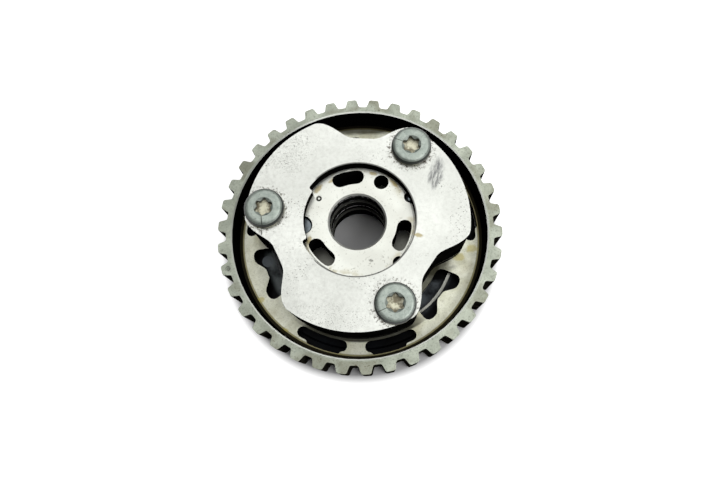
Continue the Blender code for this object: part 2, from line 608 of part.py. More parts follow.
def make_pulley(finish, parent):
    """Toothed rim, web with windows and slots, and the lobed pad that carries the stator."""
    pulley = plate_object("timing_pulley", tooth_outline(), 0.0, RIM_WIDTH, finish, parent=parent)
    wall_foot = RIM_INNER_RADIUS - WALL_DRAFT
    front = [(0, WEB_FRONT), (wall_foot, WEB_FRONT), (RIM_INNER_RADIUS, RIM_WIDTH - RIM_EDGE_CHAMFER),
             (RIM_INNER_RADIUS + 2 * RIM_EDGE_CHAMFER, RIM_WIDTH + RIM_EDGE_CHAMFER),
             (0, RIM_WIDTH + RIM_EDGE_CHAMFER)]
    boolean(pulley, turned_object("cut_front_pocket", front, None), "DIFFERENCE")
    back = [(0, -RIM_EDGE_CHAMFER), (BACK_POCKET_RADIUS + 2 * RIM_EDGE_CHAMFER, -RIM_EDGE_CHAMFER),
            (BACK_POCKET_RADIUS, RIM_EDGE_CHAMFER), (BACK_POCKET_RADIUS, WEB_BACK), (0, WEB_BACK)]
    boolean(pulley, turned_object("cut_back_pocket", back, None), "DIFFERENCE")
    overlap = WEB_THICKNESS / 2
    pad = plate_object("add_hub_pad", lobed_outline(), WEB_FRONT - overlap, PAD_FRONT, None)
    boolean(pulley, pad, "UNION")
    through = (WEB_BACK - overlap, PAD_FRONT + overlap)
    bm = bmesh.new()
    for screw in LOBE_ANGLES:
        add_plate(bm, window_outline(screw), *through)
        for side in (-1, 1):
            add_plate(bm, slot_outline(screw, side), *through)
        hole = polar(SCREW_CIRCLE_RADIUS, screw)
        add_turned(bm, [(0, through[0]), (SCREW_SHANK_RADIUS + GAP, through[0]),
                        (SCREW_SHANK_RADIUS + GAP, through[1]), (0, through[1])], hole, PIN_STEP)
        rivet = polar(RIVET_CIRCLE_RADIUS, screw + RIVET_ANGLE)
        add_blind_hole(bm, rivet, RIVET_SHANK_RADIUS + GAP, through[0], WEB_FRONT - RIVET_SKIN)
    add_blind_hole(bm, anchor_place(), ANCHOR_RADIUS + GAP, through[0], WEB_FRONT - RIVET_SKIN)
    for screw in LOBE_ANGLES[:2]:
        pin = polar(LOCATING_PIN_CIRCLE_RADIUS, screw + LOCATING_PIN_ANGLE)
        add_blind_hole(bm, pin, LOCATING_PIN_RADIUS + GAP,
                       PAD_FRONT - LOCATING_PIN_LENGTH / 2 - GAP, through[1])
    bush = polar(LOCK_CIRCLE_RADIUS, LOCK_ANGLE)
    add_blind_hole(bm, bush, LOCK_BUSH_RADIUS + GAP, PAD_FRONT - LOCK_BUSH_DEPTH - GAP, through[1], PIN_STEP)
    parked = polar(LOCK_CIRCLE_RADIUS, LOCK_ANGLE - ROTOR_TRAVEL_ANGLE)
    add_blind_hole(bm, parked, LOCK_PIN_NOSE_RADIUS + GAP, PAD_FRONT - LOCK_PIN_TRAVEL, through[1], PIN_STEP)
    add_turned(bm, [(0, through[0]), (JOURNAL_RADIUS + GAP, through[0]),
                    (JOURNAL_RADIUS + GAP, through[1]), (0, through[1])])
    add_ring_mark(bm, polar(TOOTH_MARK_CIRCLE_RADIUS, TOOTH_MARK_ANGLE), RIM_WIDTH)
    boolean(pulley, new_object("cut_web_openings", bm, None), "DIFFERENCE")
    return pulley


def add_blind_hole(bm, centre, radius, low, high, step=SMALL_PIN_STEP):
    """A round hole's solid, to be cut away."""
    add_turned(bm, [(0, low), (radius, low), (radius, high), (0, high)], centre, step)


def add_ring_mark(bm, centre, face):
    """A shallow ring groove that an inspection punch leaves in a face."""
    add_turned(bm, [(MARK_INNER_RADIUS, face - MARK_DEPTH), (MARK_OUTER_RADIUS, face - MARK_DEPTH),
                    (MARK_OUTER_RADIUS, face + GAP), (MARK_INNER_RADIUS, face + GAP)], centre, SMALL_PIN_STEP)


def make_stator(finish, parent):
    """Lobed housing ring with three vane chambers."""
    holes = [stator_bore_outline()]
    for screw in LOBE_ANGLES:
        holes.append(circle(SCREW_SHANK_RADIUS + GAP, polar(SCREW_CIRCLE_RADIUS, screw), PIN_STEP))
    stator = plate_object("stator", lobed_outline(), STATOR_BACK, STATOR_FRONT, finish, holes, parent)
    bm = bmesh.new()
    for screw in LOBE_ANGLES[:2]:
        pin = polar(LOCATING_PIN_CIRCLE_RADIUS, screw + LOCATING_PIN_ANGLE)
        add_blind_hole(bm, pin, LOCATING_PIN_RADIUS + GAP, STATOR_BACK - GAP,
                       PAD_FRONT + LOCATING_PIN_LENGTH / 2 + GAP)
    boolean(stator, new_object("cut_locating_holes", bm, None), "DIFFERENCE")
    return stator


def make_cover(finish, parent):
    """Ground cover plate, relieved underneath so that the rotor's boss runs free."""
    holes = [cover_opening_outline()]
    for screw in LOBE_ANGLES:
        holes.append(circle(SCREW_SHANK_RADIUS + GAP, polar(SCREW_CIRCLE_RADIUS, screw), PIN_STEP))
    cover = plate_object("cover_plate", lobed_outline(), COVER_BACK, COVER_FRONT, finish, holes, parent)
    relief = cylinder_cutter("cut_boss_relief", COVER_OPENING_RADIUS, COVER_BACK - GAP, COVER_STEP)
    boolean(cover, relief, "DIFFERENCE")
    return cover


def make_rotor(finish, parent):
    """Hub with three vanes, raised boss, journal and spring arbor in one piece."""
    rotor = plate_object("rotor", rotor_outline(), ROTOR_BACK, ROTOR_FRONT, finish, parent=parent)
    overlap = 1.0 * MM
    boss = cylinder_cutter("add_rotor_boss", BOSS_RADIUS, ROTOR_FRONT - overlap, BOSS_FRONT)
    boolean(rotor, boss, "UNION")
    journal = [(0, SEAT_HEIGHT), (ARBOR_RADIUS, SEAT_HEIGHT), (ARBOR_RADIUS, WEB_BACK + GAP),
               (JOURNAL_RADIUS, WEB_BACK + GAP), (JOURNAL_RADIUS, ROTOR_BACK + overlap),
               (0, ROTOR_BACK + overlap)]
    boolean(rotor, turned_object("add_rotor_journal", journal, None), "UNION")
    boolean(rotor, make_bore_cutter(), "DIFFERENCE")
    boolean(rotor, make_rotor_holes_cutter(), "DIFFERENCE")
    boolean(rotor, make_oil_ways_cutter(), "DIFFERENCE")
    return rotor


def make_bore_cutter():
    """The through bore: camshaft counterbore at the rear, two oil grooves, a chamfer at the front."""
    past = BORE_CHAMFER
    seat = SEAT_HEIGHT + COUNTERBORE_DEPTH
    profile = [(0, SEAT_HEIGHT - past), (COUNTERBORE_RADIUS, SEAT_HEIGHT - past), (COUNTERBORE_RADIUS, seat),
               (BORE_RADIUS, seat)]
    for from_vanes in OIL_GROOVES:
        low, high = (ROTOR_BACK + height for height in from_vanes)
        profile += [(BORE_RADIUS, low), (BORE_RADIUS + OIL_GROOVE_DEPTH, low),
                    (BORE_RADIUS + OIL_GROOVE_DEPTH, high), (BORE_RADIUS, high)]
    profile += [(BORE_RADIUS, BOSS_FRONT - BORE_CHAMFER), (BORE_RADIUS + 2 * BORE_CHAMFER, BOSS_FRONT + past),
                (0, BOSS_FRONT + past)]
    return turned_object("cut_bore", profile, None, step=HOLE_STEP / 2)


def make_rotor_holes_cutter():
    """Three kidney pockets, the timing hole, the gallery mouths, the lock pin's bore and the rear cuts."""
    bm = bmesh.new()
    above = BOSS_FRONT + GAP
    for screw in LOBE_ANGLES:
        pocket = arc_slot(screw + VANE_CENTRE_ANGLE + POCKET_ANGLE, POCKET_HALF_ANGLE,
                          POCKET_INNER_RADIUS, POCKET_OUTER_RADIUS, POCKET_CORNER)
        add_plate(bm, pocket, BOSS_FRONT - POCKET_DEPTH, above)
    add_blind_hole(bm, polar(TIMING_HOLE_CIRCLE_RADIUS, TIMING_HOLE_ANGLE), TIMING_HOLE_RADIUS,
                   BOSS_FRONT - TIMING_HOLE_DEPTH, above)
    for angle in GALLERY_ANGLES:
        add_blind_hole(bm, polar(GALLERY_CIRCLE_RADIUS, angle), GALLERY_RADIUS,
                       BOSS_FRONT - GALLERY_DEPTH, above)
    add_blind_hole(bm, polar(LOCK_CIRCLE_RADIUS, LOCK_ANGLE), LOCK_PIN_RADIUS + GAP,
                   ROTOR_BACK - GAP, above, PIN_STEP)
    add_ring_mark(bm, polar(ROTOR_MARK_CIRCLE_RADIUS, ROTOR_MARK_ANGLE), BOSS_FRONT)
    below = SEAT_HEIGHT - GAP
    add_blind_hole(bm, polar(DOWEL_HOLE_CIRCLE_RADIUS, TIMING_HOLE_ANGLE), DOWEL_HOLE_RADIUS,
                   below, SEAT_HEIGHT + DOWEL_HOLE_DEPTH)
    direction = polar(1.0, spring_inner_angle())
    side = Vector((-direction.y, direction.x)) * (SPRING_SLOT_WIDTH / 2)
    foot = direction * (ARBOR_RADIUS - SPRING_TANG_LENGTH - GAP)
    mouth = direction * (ARBOR_RADIUS + GAP)
    add_plate(bm, [foot - side, mouth - side, mouth + side, foot + side], below, SPRING_TOP + GAP / 2)
    return new_object("cut_rotor_holes", bm, None)


def make_oil_ways_cutter():
    """Radial drillings from the bore's two grooves to both sides of each vane."""
    bm = bmesh.new()
    start = BORE_RADIUS
    end = HUB_RADIUS + OIL_WAY_RADIUS
    for screw in LOBE_ANGLES:
        for side, height in zip((-1, 1), OIL_WAY_HEIGHTS):
            angle = screw + VANE_CENTRE_ANGLE + side * OIL_WAY_VANE_ANGLE
            middle = polar((start + end) / 2, angle)
            place = Matrix.Translation((middle.x, middle.y, ROTOR_BACK + height))
            place = place @ Matrix.Rotation(math.radians(angle), 4, "Z") @ Matrix.Rotation(math.pi / 2, 4, "Y")
            bmesh.ops.create_cone(bm, cap_ends=True, segments=10, radius1=OIL_WAY_RADIUS,
                                  radius2=OIL_WAY_RADIUS, depth=end - start, matrix=place)
    return new_object("cut_oil_ways", bm, None)


def make_cover_screws(finish, parent):
    """Three pan-head screws with star sockets, from the cover into the pulley's pad."""
    for number, (screw, phase) in enumerate(zip(LOBE_ANGLES, STAR_PHASES), start=1):
        centre = polar(SCREW_CIRCLE_RADIUS, screw)
        seat = COVER_FRONT + GAP
        top = seat + SCREW_HEAD_HEIGHT
        profile = [(0, WEB_BACK), (SCREW_SHANK_RADIUS - SCREW_TIP_CHAMFER, WEB_BACK),
                   (SCREW_SHANK_RADIUS, WEB_BACK + SCREW_TIP_CHAMFER), (SCREW_SHANK_RADIUS, seat),
                   (SCREW_HEAD_RADIUS - GAP, seat), (SCREW_HEAD_RADIUS, seat + GAP)]
        for degrees in (0, 22, 45, 68, 90):
            a = math.radians(degrees)
            profile.append((SCREW_HEAD_RADIUS - SCREW_HEAD_ROUND * (1 - math.cos(a)),
                            top - SCREW_HEAD_ROUND * (1 - math.sin(a))))
        profile.append((0, top))
        made = turned_object(f"cover_screw_{number}", profile, finish, centre, PIN_STEP, parent)
        bm = bmesh.new()
        add_plate(bm, star_outline(centre, phase), top - STAR_DEPTH, top + GAP)
        add_turned(bm, [(0, top - SOCKET_MOUTH_DEPTH), (STAR_ROOT_RADIUS, top - SOCKET_MOUTH_DEPTH),
                        (SOCKET_MOUTH_RADIUS, top), (SOCKET_MOUTH_RADIUS, top + 2 * GAP), (0, top + 2 * GAP)],
                   centre, PIN_STEP)
        boolean(made, new_object(f"cut_star_socket_{number}", bm, None), "DIFFERENCE")


def bar_with_lip(name, angle, inner, outer, low, high, finish, parent):
    """A seal bar: straight sides, and a crowned face where it rubs on the round wall."""
    out = polar(1.0, angle)
    side = Vector((-out.y, out.x)) * (SEAL_WIDTH / 2)
    lip = SEAL_LIP
    points = [out * inner - side, out * (outer - lip) - side, out * outer - side * 0.5,
              out * outer + side * 0.5, out * (outer - lip) + side, out * inner + side]
    return plate_object(name, points, low, high, finish, parent=parent)


def leaf_spring(name, angle, seat_radius, bow, finish, parent):
    """A thin bowed leaf under a seal bar; bow is the way in which its middle rises."""
    out = polar(1.0, angle)
    side = Vector((-out.y, out.x)) * (SEAL_WIDTH / 2 - GAP)
    low = ROTOR_BACK + 2 * GAP
    high = ROTOR_FRONT - 2 * GAP
    bm = bmesh.new()
    columns = []
    count = 8
    for i in range(count + 1):
        t = i / count
        rise = bow * math.sin(math.pi * t)
        z = low + (high - low) * t
        columns.append([bm.verts.new((*(out * (seat_radius + rise + offset) + edge), z))
                        for offset, edge in ((0, -side), (LEAF_THICKNESS, -side),
                                             (LEAF_THICKNESS, side), (0, side))])
    for lower, upper in zip(columns, columns[1:]):
        for i in range(4):
            j = (i + 1) % 4
            bm.faces.new((lower[i], lower[j], upper[j], upper[i]))
    bm.faces.new(columns[0])
    bm.faces.new(columns[-1])
    return new_object(name, bm, finish, parent)


def make_seals(vane_finish, partition_finish, leaf_finish, housing, rotor_empty):
    """Tip seals on the vanes and partition seals in the stator, each on its leaf spring."""
    low = ROTOR_BACK + GAP
    high = ROTOR_FRONT - GAP
    half_width = SEAL_WIDTH / 2 + GAP
    tip_mouth = math.sqrt(VANE_TIP_RADIUS ** 2 - half_width ** 2)
    bore_mouth = math.sqrt((HUB_RADIUS + GAP) ** 2 - half_width ** 2)
    for number, screw in enumerate(LOBE_ANGLES, start=1):
        vane = screw + VANE_CENTRE_ANGLE
        outer = CHAMBER_RADIUS - GAP
        bar_with_lip(f"vane_seal_{number}", vane, outer - SEAL_HEIGHT, outer, low, high,
                     vane_finish, rotor_empty)
        floor = tip_mouth - SEAL_GROOVE_DEPTH
        leaf_spring(f"vane_seal_spring_{number}", vane, floor + GAP / 3,
                    outer - SEAL_HEIGHT - floor - LEAF_THICKNESS - 2 * GAP / 3, leaf_finish, rotor_empty)
        partition = screw + PARTITION_SEAL_ANGLE
        inner = HUB_RADIUS + GAP
        bar = bar_with_lip(f"partition_seal_{number}", partition + 180.0, -inner - SEAL_HEIGHT, -inner,
                           low, high, partition_finish, housing)
        bar.parent = housing
        roof = bore_mouth + SEAL_GROOVE_DEPTH
        leaf_spring(f"partition_seal_spring_{number}", partition, roof - LEAF_THICKNESS - GAP / 3,
                    -(roof - inner - SEAL_HEIGHT - LEAF_THICKNESS - 2 * GAP / 3), leaf_finish, housing)


def make_lock_pin(pin_finish, spring_finish, cap_finish, bush_finish, housing, rotor_empty, pin_empty):
    """The sprung lock pin, its cap, and the hardened bush in the pulley that it drops into."""
    centre = polar(LOCK_CIRCLE_RADIUS, LOCK_ANGLE)
    nose = ROTOR_BACK + LOCK_PIN_RETRACTION
    shoulder = nose + LOCK_PIN_NOSE_LENGTH
    top = nose + LOCK_PIN_LENGTH
    cup = nose + LOCK_PIN_FLOOR
    inner = LOCK_PIN_RADIUS - LOCK_PIN_WALL
    edge = LOCK_PIN_WALL / 2
    profile = [(0, nose), (LOCK_PIN_NOSE_RADIUS - edge, nose), (LOCK_PIN_NOSE_RADIUS, nose + edge),
               (LOCK_PIN_NOSE_RADIUS, shoulder), (LOCK_PIN_RADIUS, shoulder + edge),
               (LOCK_PIN_RADIUS, top), (inner, top), (inner, cup), (0, cup)]
    turned_object("lock_pin", profile, pin_finish, centre, PIN_STEP, pin_empty)
    cap_top = BOSS_FRONT - LOCK_CAP_RECESS
    cap_bottom = cap_top - LOCK_CAP_THICKNESS
    cap = [(LOCK_VENT_RADIUS, cap_bottom), (LOCK_PIN_RADIUS, cap_bottom), (LOCK_PIN_RADIUS, cap_top - edge),
           (LOCK_PIN_RADIUS - edge, cap_top), (LOCK_VENT_RADIUS, cap_top)]
    turned_object("lock_pin_cap", cap, cap_finish, centre, PIN_STEP, rotor_empty)
    helical_spring("lock_pin_spring", centre, cup + GAP + LOCK_SPRING_WIRE_RADIUS,
                   cap_bottom - GAP - LOCK_SPRING_WIRE_RADIUS, spring_finish, rotor_empty)
    bush_top = PAD_FRONT
    bush_bottom = PAD_FRONT - LOCK_BUSH_DEPTH
    hole = LOCK_PIN_NOSE_RADIUS + GAP
    bush = [(hole, bush_bottom), (LOCK_BUSH_RADIUS, bush_bottom), (LOCK_BUSH_RADIUS, bush_top),
            (LOCK_PIN_RADIUS + GAP, bush_top), (hole, bush_top - edge)]
    turned_object("lock_bush", bush, bush_finish, centre, PIN_STEP, housing)


def helical_spring(name, centre, low, high, finish, parent):
    """A coil spring as a square-section wire swept up a helix, with closed end turns."""
    per_turn = 10
    total = LOCK_SPRING_TURNS * per_turn
    wire = LOCK_SPRING_WIRE_RADIUS
    bm = bmesh.new()
    rings = []
    for i in range(total + 1):
        turn = i / per_turn
        a = 2 * math.pi * turn
        climb = smooth_step(turn, 0.0, LOCK_SPRING_TURNS) * 0.3 + 0.7 * turn / LOCK_SPRING_TURNS
        z = low + (high - low) * climb
        ring = []
        for side, lift in ((-1, -1), (1, -1), (1, 1), (-1, 1)):
            radius = LOCK_SPRING_COIL_RADIUS + side * wire
            ring.append(bm.verts.new((centre[0] + radius * math.cos(a), centre[1] + radius * math.sin(a),
                                      z + lift * wire)))
        rings.append(ring)
    join_rings(bm, rings)
    return new_object(name, bm, finish, parent)


def join_rings(bm, rings):
    """Skins a run of equal rings of points and closes both ends."""
    for lower, upper in zip(rings, rings[1:]):
        for i in range(len(lower)):
            j = (i + 1) % len(lower)
            bm.faces.new((lower[i], lower[j], upper[j], upper[i]))
    bm.faces.new(rings[0])
    bm.faces.new(rings[-1])


def spring_radius(turned):
    """Radius of the bias spring's middle line, turned degrees on from its outer end."""
    inner = ARBOR_RADIUS + GAP + SPRING_STRIP_THICKNESS / 2
    inward = (SPRING_OUTER_RADIUS - inner) * turned / (360.0 * SPRING_TURNS)
    dip = SPRING_END_DIP * (1 - smooth_step(turned, 0.0, SPRING_END_DIP_ANGLE))
    return SPRING_OUTER_RADIUS - inward - dip


def anchor_place():
    """The anchor post stands inside the spring's hooked outer end."""
    inset = SPRING_STRIP_THICKNESS / 2 + GAP + ANCHOR_RADIUS
    return polar(spring_radius(0.0) - inset, SPRING_OUTER_END_ANGLE)


def spring_inner_angle():
    """Where the innermost coil ends and its tang goes into the arbor."""
    return SPRING_OUTER_END_ANGLE + 360.0 * SPRING_TURNS


def spring_path():
    """Middle line of the bias spring, from its hook round the anchor to its tang in the arbor."""
    anchor = anchor_place()
    reach = ANCHOR_RADIUS + GAP + SPRING_STRIP_THICKNESS / 2
    points = []
    for degrees in (-200, -170, -140, -110, -80, -50, -25):
        points.append(anchor + polar(reach, SPRING_OUTER_END_ANGLE + degrees))
    total = 360.0 * SPRING_TURNS
    points += [polar(spring_radius(a), SPRING_OUTER_END_ANGLE + a) for a in steps_between(0.0, total, SPRING_STEP)]
    direction = polar(1.0, spring_inner_angle())
    tang_start = direction * (ARBOR_RADIUS - SPRING_STRIP_THICKNESS / 2)
    points.append(tang_start)
    points.append(direction * (ARBOR_RADIUS - SPRING_TANG_LENGTH))
    return points


def make_bias_spring(finish, parent):
    """Flat strip wound into a spiral, hooked on the anchor post and on the rotor's arbor."""
    path = spring_path()
    bm = bmesh.new()
    rings = []
    half = SPRING_STRIP_THICKNESS / 2
    for i, point in enumerate(path):
        before = path[max(0, i - 1)]
        after = path[min(len(path) - 1, i + 1)]
        run_in = (point - before).normalized() if i > 0 else (after - point).normalized()
        run_out = (after - point).normalized() if i < len(path) - 1 else run_in
        along = (run_in + run_out).normalized()
        across = Vector((-along.y, along.x))
        width = half / max(0.5, across.dot(Vector((-run_in.y, run_in.x))))
        rings.append([bm.verts.new((*(point + across * side * width), z))
                      for side, z in ((-1, SPRING_BOTTOM), (1, SPRING_BOTTOM), (1, SPRING_TOP), (-1, SPRING_TOP))])
    join_rings(bm, rings)
    return new_object("bias_spring", bm, finish, parent)


def make_spring_cover(cover_finish, rivet_finish, parent):
    """Thin pressed cover behind the bias spring, its rivets and the spring's anchor post.

    A dish and a stiffening groove are pressed into the cover."""
    holes = [circle(ARBOR_RADIUS + 2 * GAP)]
    for screw in LOBE_ANGLES:
        holes.append(circle(RIVET_SHANK_RADIUS + GAP, polar(RIVET_CIRCLE_RADIUS, screw + RIVET_ANGLE), SMALL_PIN_STEP))
    plate = plate_object("spring_cover", circle(SPRING_COVER_RADIUS), SPRING_COVER_BOTTOM, SPRING_COVER_TOP,
                         cover_finish, holes, parent)
    dish = [(0, SPRING_COVER_TOP - DISH_DEPTH), (DISH_FLOOR_RADIUS, SPRING_COVER_TOP - DISH_DEPTH),
            (DISH_RADIUS, SPRING_COVER_TOP), (DISH_RADIUS, SPRING_COVER_TOP + GAP), (0, SPRING_COVER_TOP + GAP)]
    cutter = turned_object("cut_dish", dish, None, polar(DISH_CIRCLE_RADIUS, DISH_ANGLE), PIN_STEP)
    boolean(plate, cutter, "DIFFERENCE")
    above = SPRING_COVER_TOP + GAP
    groove = [(COVER_GROOVE_RADIUS, SPRING_COVER_TOP - COVER_GROOVE_DEPTH),
              (COVER_GROOVE_RADIUS + COVER_GROOVE_WIDTH, above), (COVER_GROOVE_RADIUS - COVER_GROOVE_WIDTH, above)]
    boolean(plate, turned_object("cut_groove", groove, None), "DIFFERENCE")
    for number, screw in enumerate(LOBE_ANGLES, start=1):
        centre = polar(RIVET_CIRCLE_RADIUS, screw + RIVET_ANGLE)
        head_top = SPRING_COVER_BOTTOM - GAP
        head_bottom = head_top - RIVET_HEAD_HEIGHT
        profile = [(0, head_bottom), (RIVET_HEAD_RADIUS - GAP, head_bottom), (RIVET_HEAD_RADIUS, head_top),
                   (RIVET_SHANK_RADIUS, head_top), (RIVET_SHANK_RADIUS, WEB_FRONT - RIVET_SKIN - GAP),
                   (0, WEB_FRONT - RIVET_SKIN - GAP)]
        turned_object(f"cover_rivet_{number}", profile, rivet_finish, centre, SMALL_PIN_STEP, parent)
    top = WEB_FRONT - RIVET_SKIN - GAP
    post = [(0, SPRING_BOTTOM), (ANCHOR_RADIUS, SPRING_BOTTOM), (ANCHOR_RADIUS, top), (0, top)]
    turned_object("spring_anchor_post", post, rivet_finish, anchor_place(), SMALL_PIN_STEP, parent)


def make_small_parts(pin_finish, ball_finish, housing, rotor_empty):
    """Locating pins between pulley and stator, and the balls that plug the rotor's oil galleries."""
    for number, screw in enumerate(LOBE_ANGLES[:2], start=1):
        centre = polar(LOCATING_PIN_CIRCLE_RADIUS, screw + LOCATING_PIN_ANGLE)
        low = PAD_FRONT - LOCATING_PIN_LENGTH / 2
        high = low + LOCATING_PIN_LENGTH
        profile = [(0, low), (LOCATING_PIN_RADIUS - GAP, low), (LOCATING_PIN_RADIUS, low + GAP),
                   (LOCATING_PIN_RADIUS, high - GAP), (LOCATING_PIN_RADIUS - GAP, high), (0, high)]
        turned_object(f"locating_pin_{number}", profile, pin_finish, centre, SMALL_PIN_STEP, housing)
    for number, angle in enumerate(GALLERY_ANGLES, start=1):
        middle = BOSS_FRONT - GALLERY_DEPTH + GAP + GALLERY_BALL_RADIUS
        bm = bmesh.new()
        bmesh.ops.create_uvsphere(bm, u_segments=14, v_segments=8, radius=GALLERY_BALL_RADIUS)
        place = polar(GALLERY_CIRCLE_RADIUS, angle)
        bmesh.ops.translate(bm, verts=bm.verts, vec=(place.x, place.y, middle))
        new_object(f"gallery_ball_{number}", bm, ball_finish, rotor_empty)


def new_empty(name, parent=None):
    """An empty on the rotation axis, to carry one body's pieces."""
    made = bpy.data.objects.new(name, None)
    bpy.context.scene.collection.objects.link(made)
    made.parent = parent
    return made


def build():
    """Clears the scene and models the whole phaser."""
    for old in list(bpy.data.objects):
        bpy.data.objects.remove(old, do_unlink=True)
    sintered = material("sintered_steel", (0.38, 0.42, 0.35), 0.5, 0.6)
    ground = material("ground_steel", (0.82, 0.83, 0.8), 0.35, 0.6)
    housing_steel = material("dark_sintered_steel", (0.09, 0.09, 0.08), 0.5, 0.7)
    rotor_steel = material("machined_steel", (0.8, 0.8, 0.76), 0.35, 0.6)
    zinc = material("zinc_plated_steel", (0.42, 0.47, 0.44), 0.4, 0.7)
    polymer = material("seal_polymer", (0.06, 0.05, 0.04), 0.6, 0.0)
    spring_steel = material("spring_steel", (0.25, 0.25, 0.24), 0.35, 0.9)
    hardened = material("hardened_steel", (0.3, 0.32, 0.34), 0.25, 0.9)
    pressed = material("phosphated_sheet", (0.07, 0.08, 0.09), 0.5, 0.5)
    housing = new_empty("housing_axis")
    rotor_axis = new_empty("rotor_axis", housing)
    pin_axis = new_empty("lock_pin_axis", rotor_axis)
    make_pulley(sintered, housing)
    make_stator(housing_steel, housing)
    make_cover(ground, housing)
    make_rotor(rotor_steel, rotor_axis)
    make_cover_screws(zinc, housing)
    make_seals(polymer, polymer, spring_steel, housing, rotor_axis)
    make_lock_pin(hardened, spring_steel, hardened, hardened, housing, rotor_axis, pin_axis)
    make_bias_spring(spring_steel, housing)
    make_spring_cover(pressed, zinc, housing)
    make_small_parts(hardened, hardened, housing, rotor_axis)


build()
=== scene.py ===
# %% [markdown]
# # A cam phaser, dressed for its photograph
#
# The solid model of the phaser is already packed: every piece has its true size and its place. This
# lesson gives each piece the edges and the surface that the real one has, and then sets up the
# light and the camera of the photograph. The first step brings the model in. Nothing here changes a
# size: a solid either keeps its mesh or gets a copy with softer edges that stands in for it.

# %% Load the solid model
import json
import math

import bmesh
import bpy
from mathutils import Matrix, Vector


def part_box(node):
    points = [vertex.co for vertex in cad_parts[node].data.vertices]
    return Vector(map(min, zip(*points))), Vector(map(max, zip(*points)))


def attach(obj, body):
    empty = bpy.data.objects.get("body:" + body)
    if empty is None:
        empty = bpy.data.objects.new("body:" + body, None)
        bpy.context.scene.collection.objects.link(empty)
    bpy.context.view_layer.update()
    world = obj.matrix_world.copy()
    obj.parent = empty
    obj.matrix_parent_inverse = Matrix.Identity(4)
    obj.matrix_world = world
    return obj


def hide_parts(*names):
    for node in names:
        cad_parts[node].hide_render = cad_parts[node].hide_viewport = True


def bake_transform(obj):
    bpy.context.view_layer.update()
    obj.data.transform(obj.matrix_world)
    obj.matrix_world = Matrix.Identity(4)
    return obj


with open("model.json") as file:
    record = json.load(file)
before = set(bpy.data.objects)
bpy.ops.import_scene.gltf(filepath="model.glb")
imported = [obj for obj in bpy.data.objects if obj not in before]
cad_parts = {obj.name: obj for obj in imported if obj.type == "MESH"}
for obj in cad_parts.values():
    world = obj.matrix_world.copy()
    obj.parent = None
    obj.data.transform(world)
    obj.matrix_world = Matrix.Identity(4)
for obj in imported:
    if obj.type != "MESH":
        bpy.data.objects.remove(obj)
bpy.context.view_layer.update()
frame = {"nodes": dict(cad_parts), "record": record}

MM = 0.001
bodies = frame["record"]["behaviour"]["bodies"]
print("pieces:", len(frame["nodes"]), "bodies:", {name: len(nodes) for name, nodes in bodies.items()})

# %% [markdown]
# The heights of the flat faces are needed again and again, by the materials and by the camera. They
# are read from the pieces themselves, so they stay right if the solid model is rebuilt.

# %% Heights of the main faces
rim_low, rim_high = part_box("timing_pulley")
cover_low, cover_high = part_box("cover_plate")
rotor_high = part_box("rotor")[1]
screw_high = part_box("cover_screw_1")[1]
rim_front = rim_high.z
print(f"rim front {rim_front / MM:.1f} mm, cover {cover_low.z / MM:.1f} to {cover_high.z / MM:.1f} mm, "
      f"rotor face {rotor_high.z / MM:.1f} mm, screw tops {screw_high.z / MM:.1f} mm")

# %% [markdown]
# ## Softened edges
#
# A real machined edge is never a mathematical line: it is broken with a brush, or it carries a small
# chamfer, and that narrow band catches the light. Blender can fake it with the Bevel shader node,
# but a node leaves the mesh sharp. Here the edge is real geometry: the Bevel modifier rounds every
# edge that is sharper than an angle. Smooth shading alone would then bend the light over the flat
# faces too, so a Weighted Normal modifier lets the large faces decide, and they stay flat to the eye.
# The result replaces the solid.

# %% Copy a piece with softened edges
def body_of(node):
    """The body that a node moves with."""
    return next(body for body, nodes in bodies.items() if node in nodes)


def soften(node, width, segments=2, sharper_than=28.0):
    """Replaces a node with a copy whose sharp edges are rounded by width, in metres."""
    mesh = frame["nodes"][node].data.copy()
    bm = bmesh.new()
    bm.from_mesh(mesh)
    bmesh.ops.remove_doubles(bm, verts=bm.verts, dist=1e-6)
    bm.to_mesh(mesh)
    bm.free()
    mesh.shade_smooth()
    piece = bpy.data.objects.new(node + "_worn", mesh)
    bpy.context.scene.collection.objects.link(piece)
    bevel = piece.modifiers.new("softened_edges", "BEVEL")
    bevel.width = width
    bevel.segments = segments
    bevel.limit_method = "ANGLE"
    bevel.angle_limit = math.radians(sharper_than)
    piece.modifiers.new("flat_faces_stay_flat", "WEIGHTED_NORMAL")
    bpy.context.view_layer.update()
    finished = bpy.data.meshes.new_from_object(piece.evaluated_get(bpy.context.evaluated_depsgraph_get()))
    piece.modifiers.clear()
    piece.data = finished
    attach(piece, body_of(node))
    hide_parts(node)
    print(f"{piece.name}: {len(finished.polygons)} faces")
    return piece


pieces = {}
for node, width in (("timing_pulley", 0.22), ("stator", 0.25), ("cover_plate", 0.3), ("rotor", 0.2)):
    pieces[node] = soften(node, width * MM)
for number in (1, 2, 3):
    pieces[f"cover_screw_{number}"] = soften(f"cover_screw_{number}", 0.12 * MM)

# %% [markdown]
# ## A spring that winds
#
# Behind the web lies a flat strip, wound into a spiral, that pulls the rotor back when the oil
# pressure is gone. In the solid model its bends are short straight runs, which would show through the
# window as corners. A Subdivision Surface modifier makes them round, and creases on the four long
# edges keep the strip's section square.

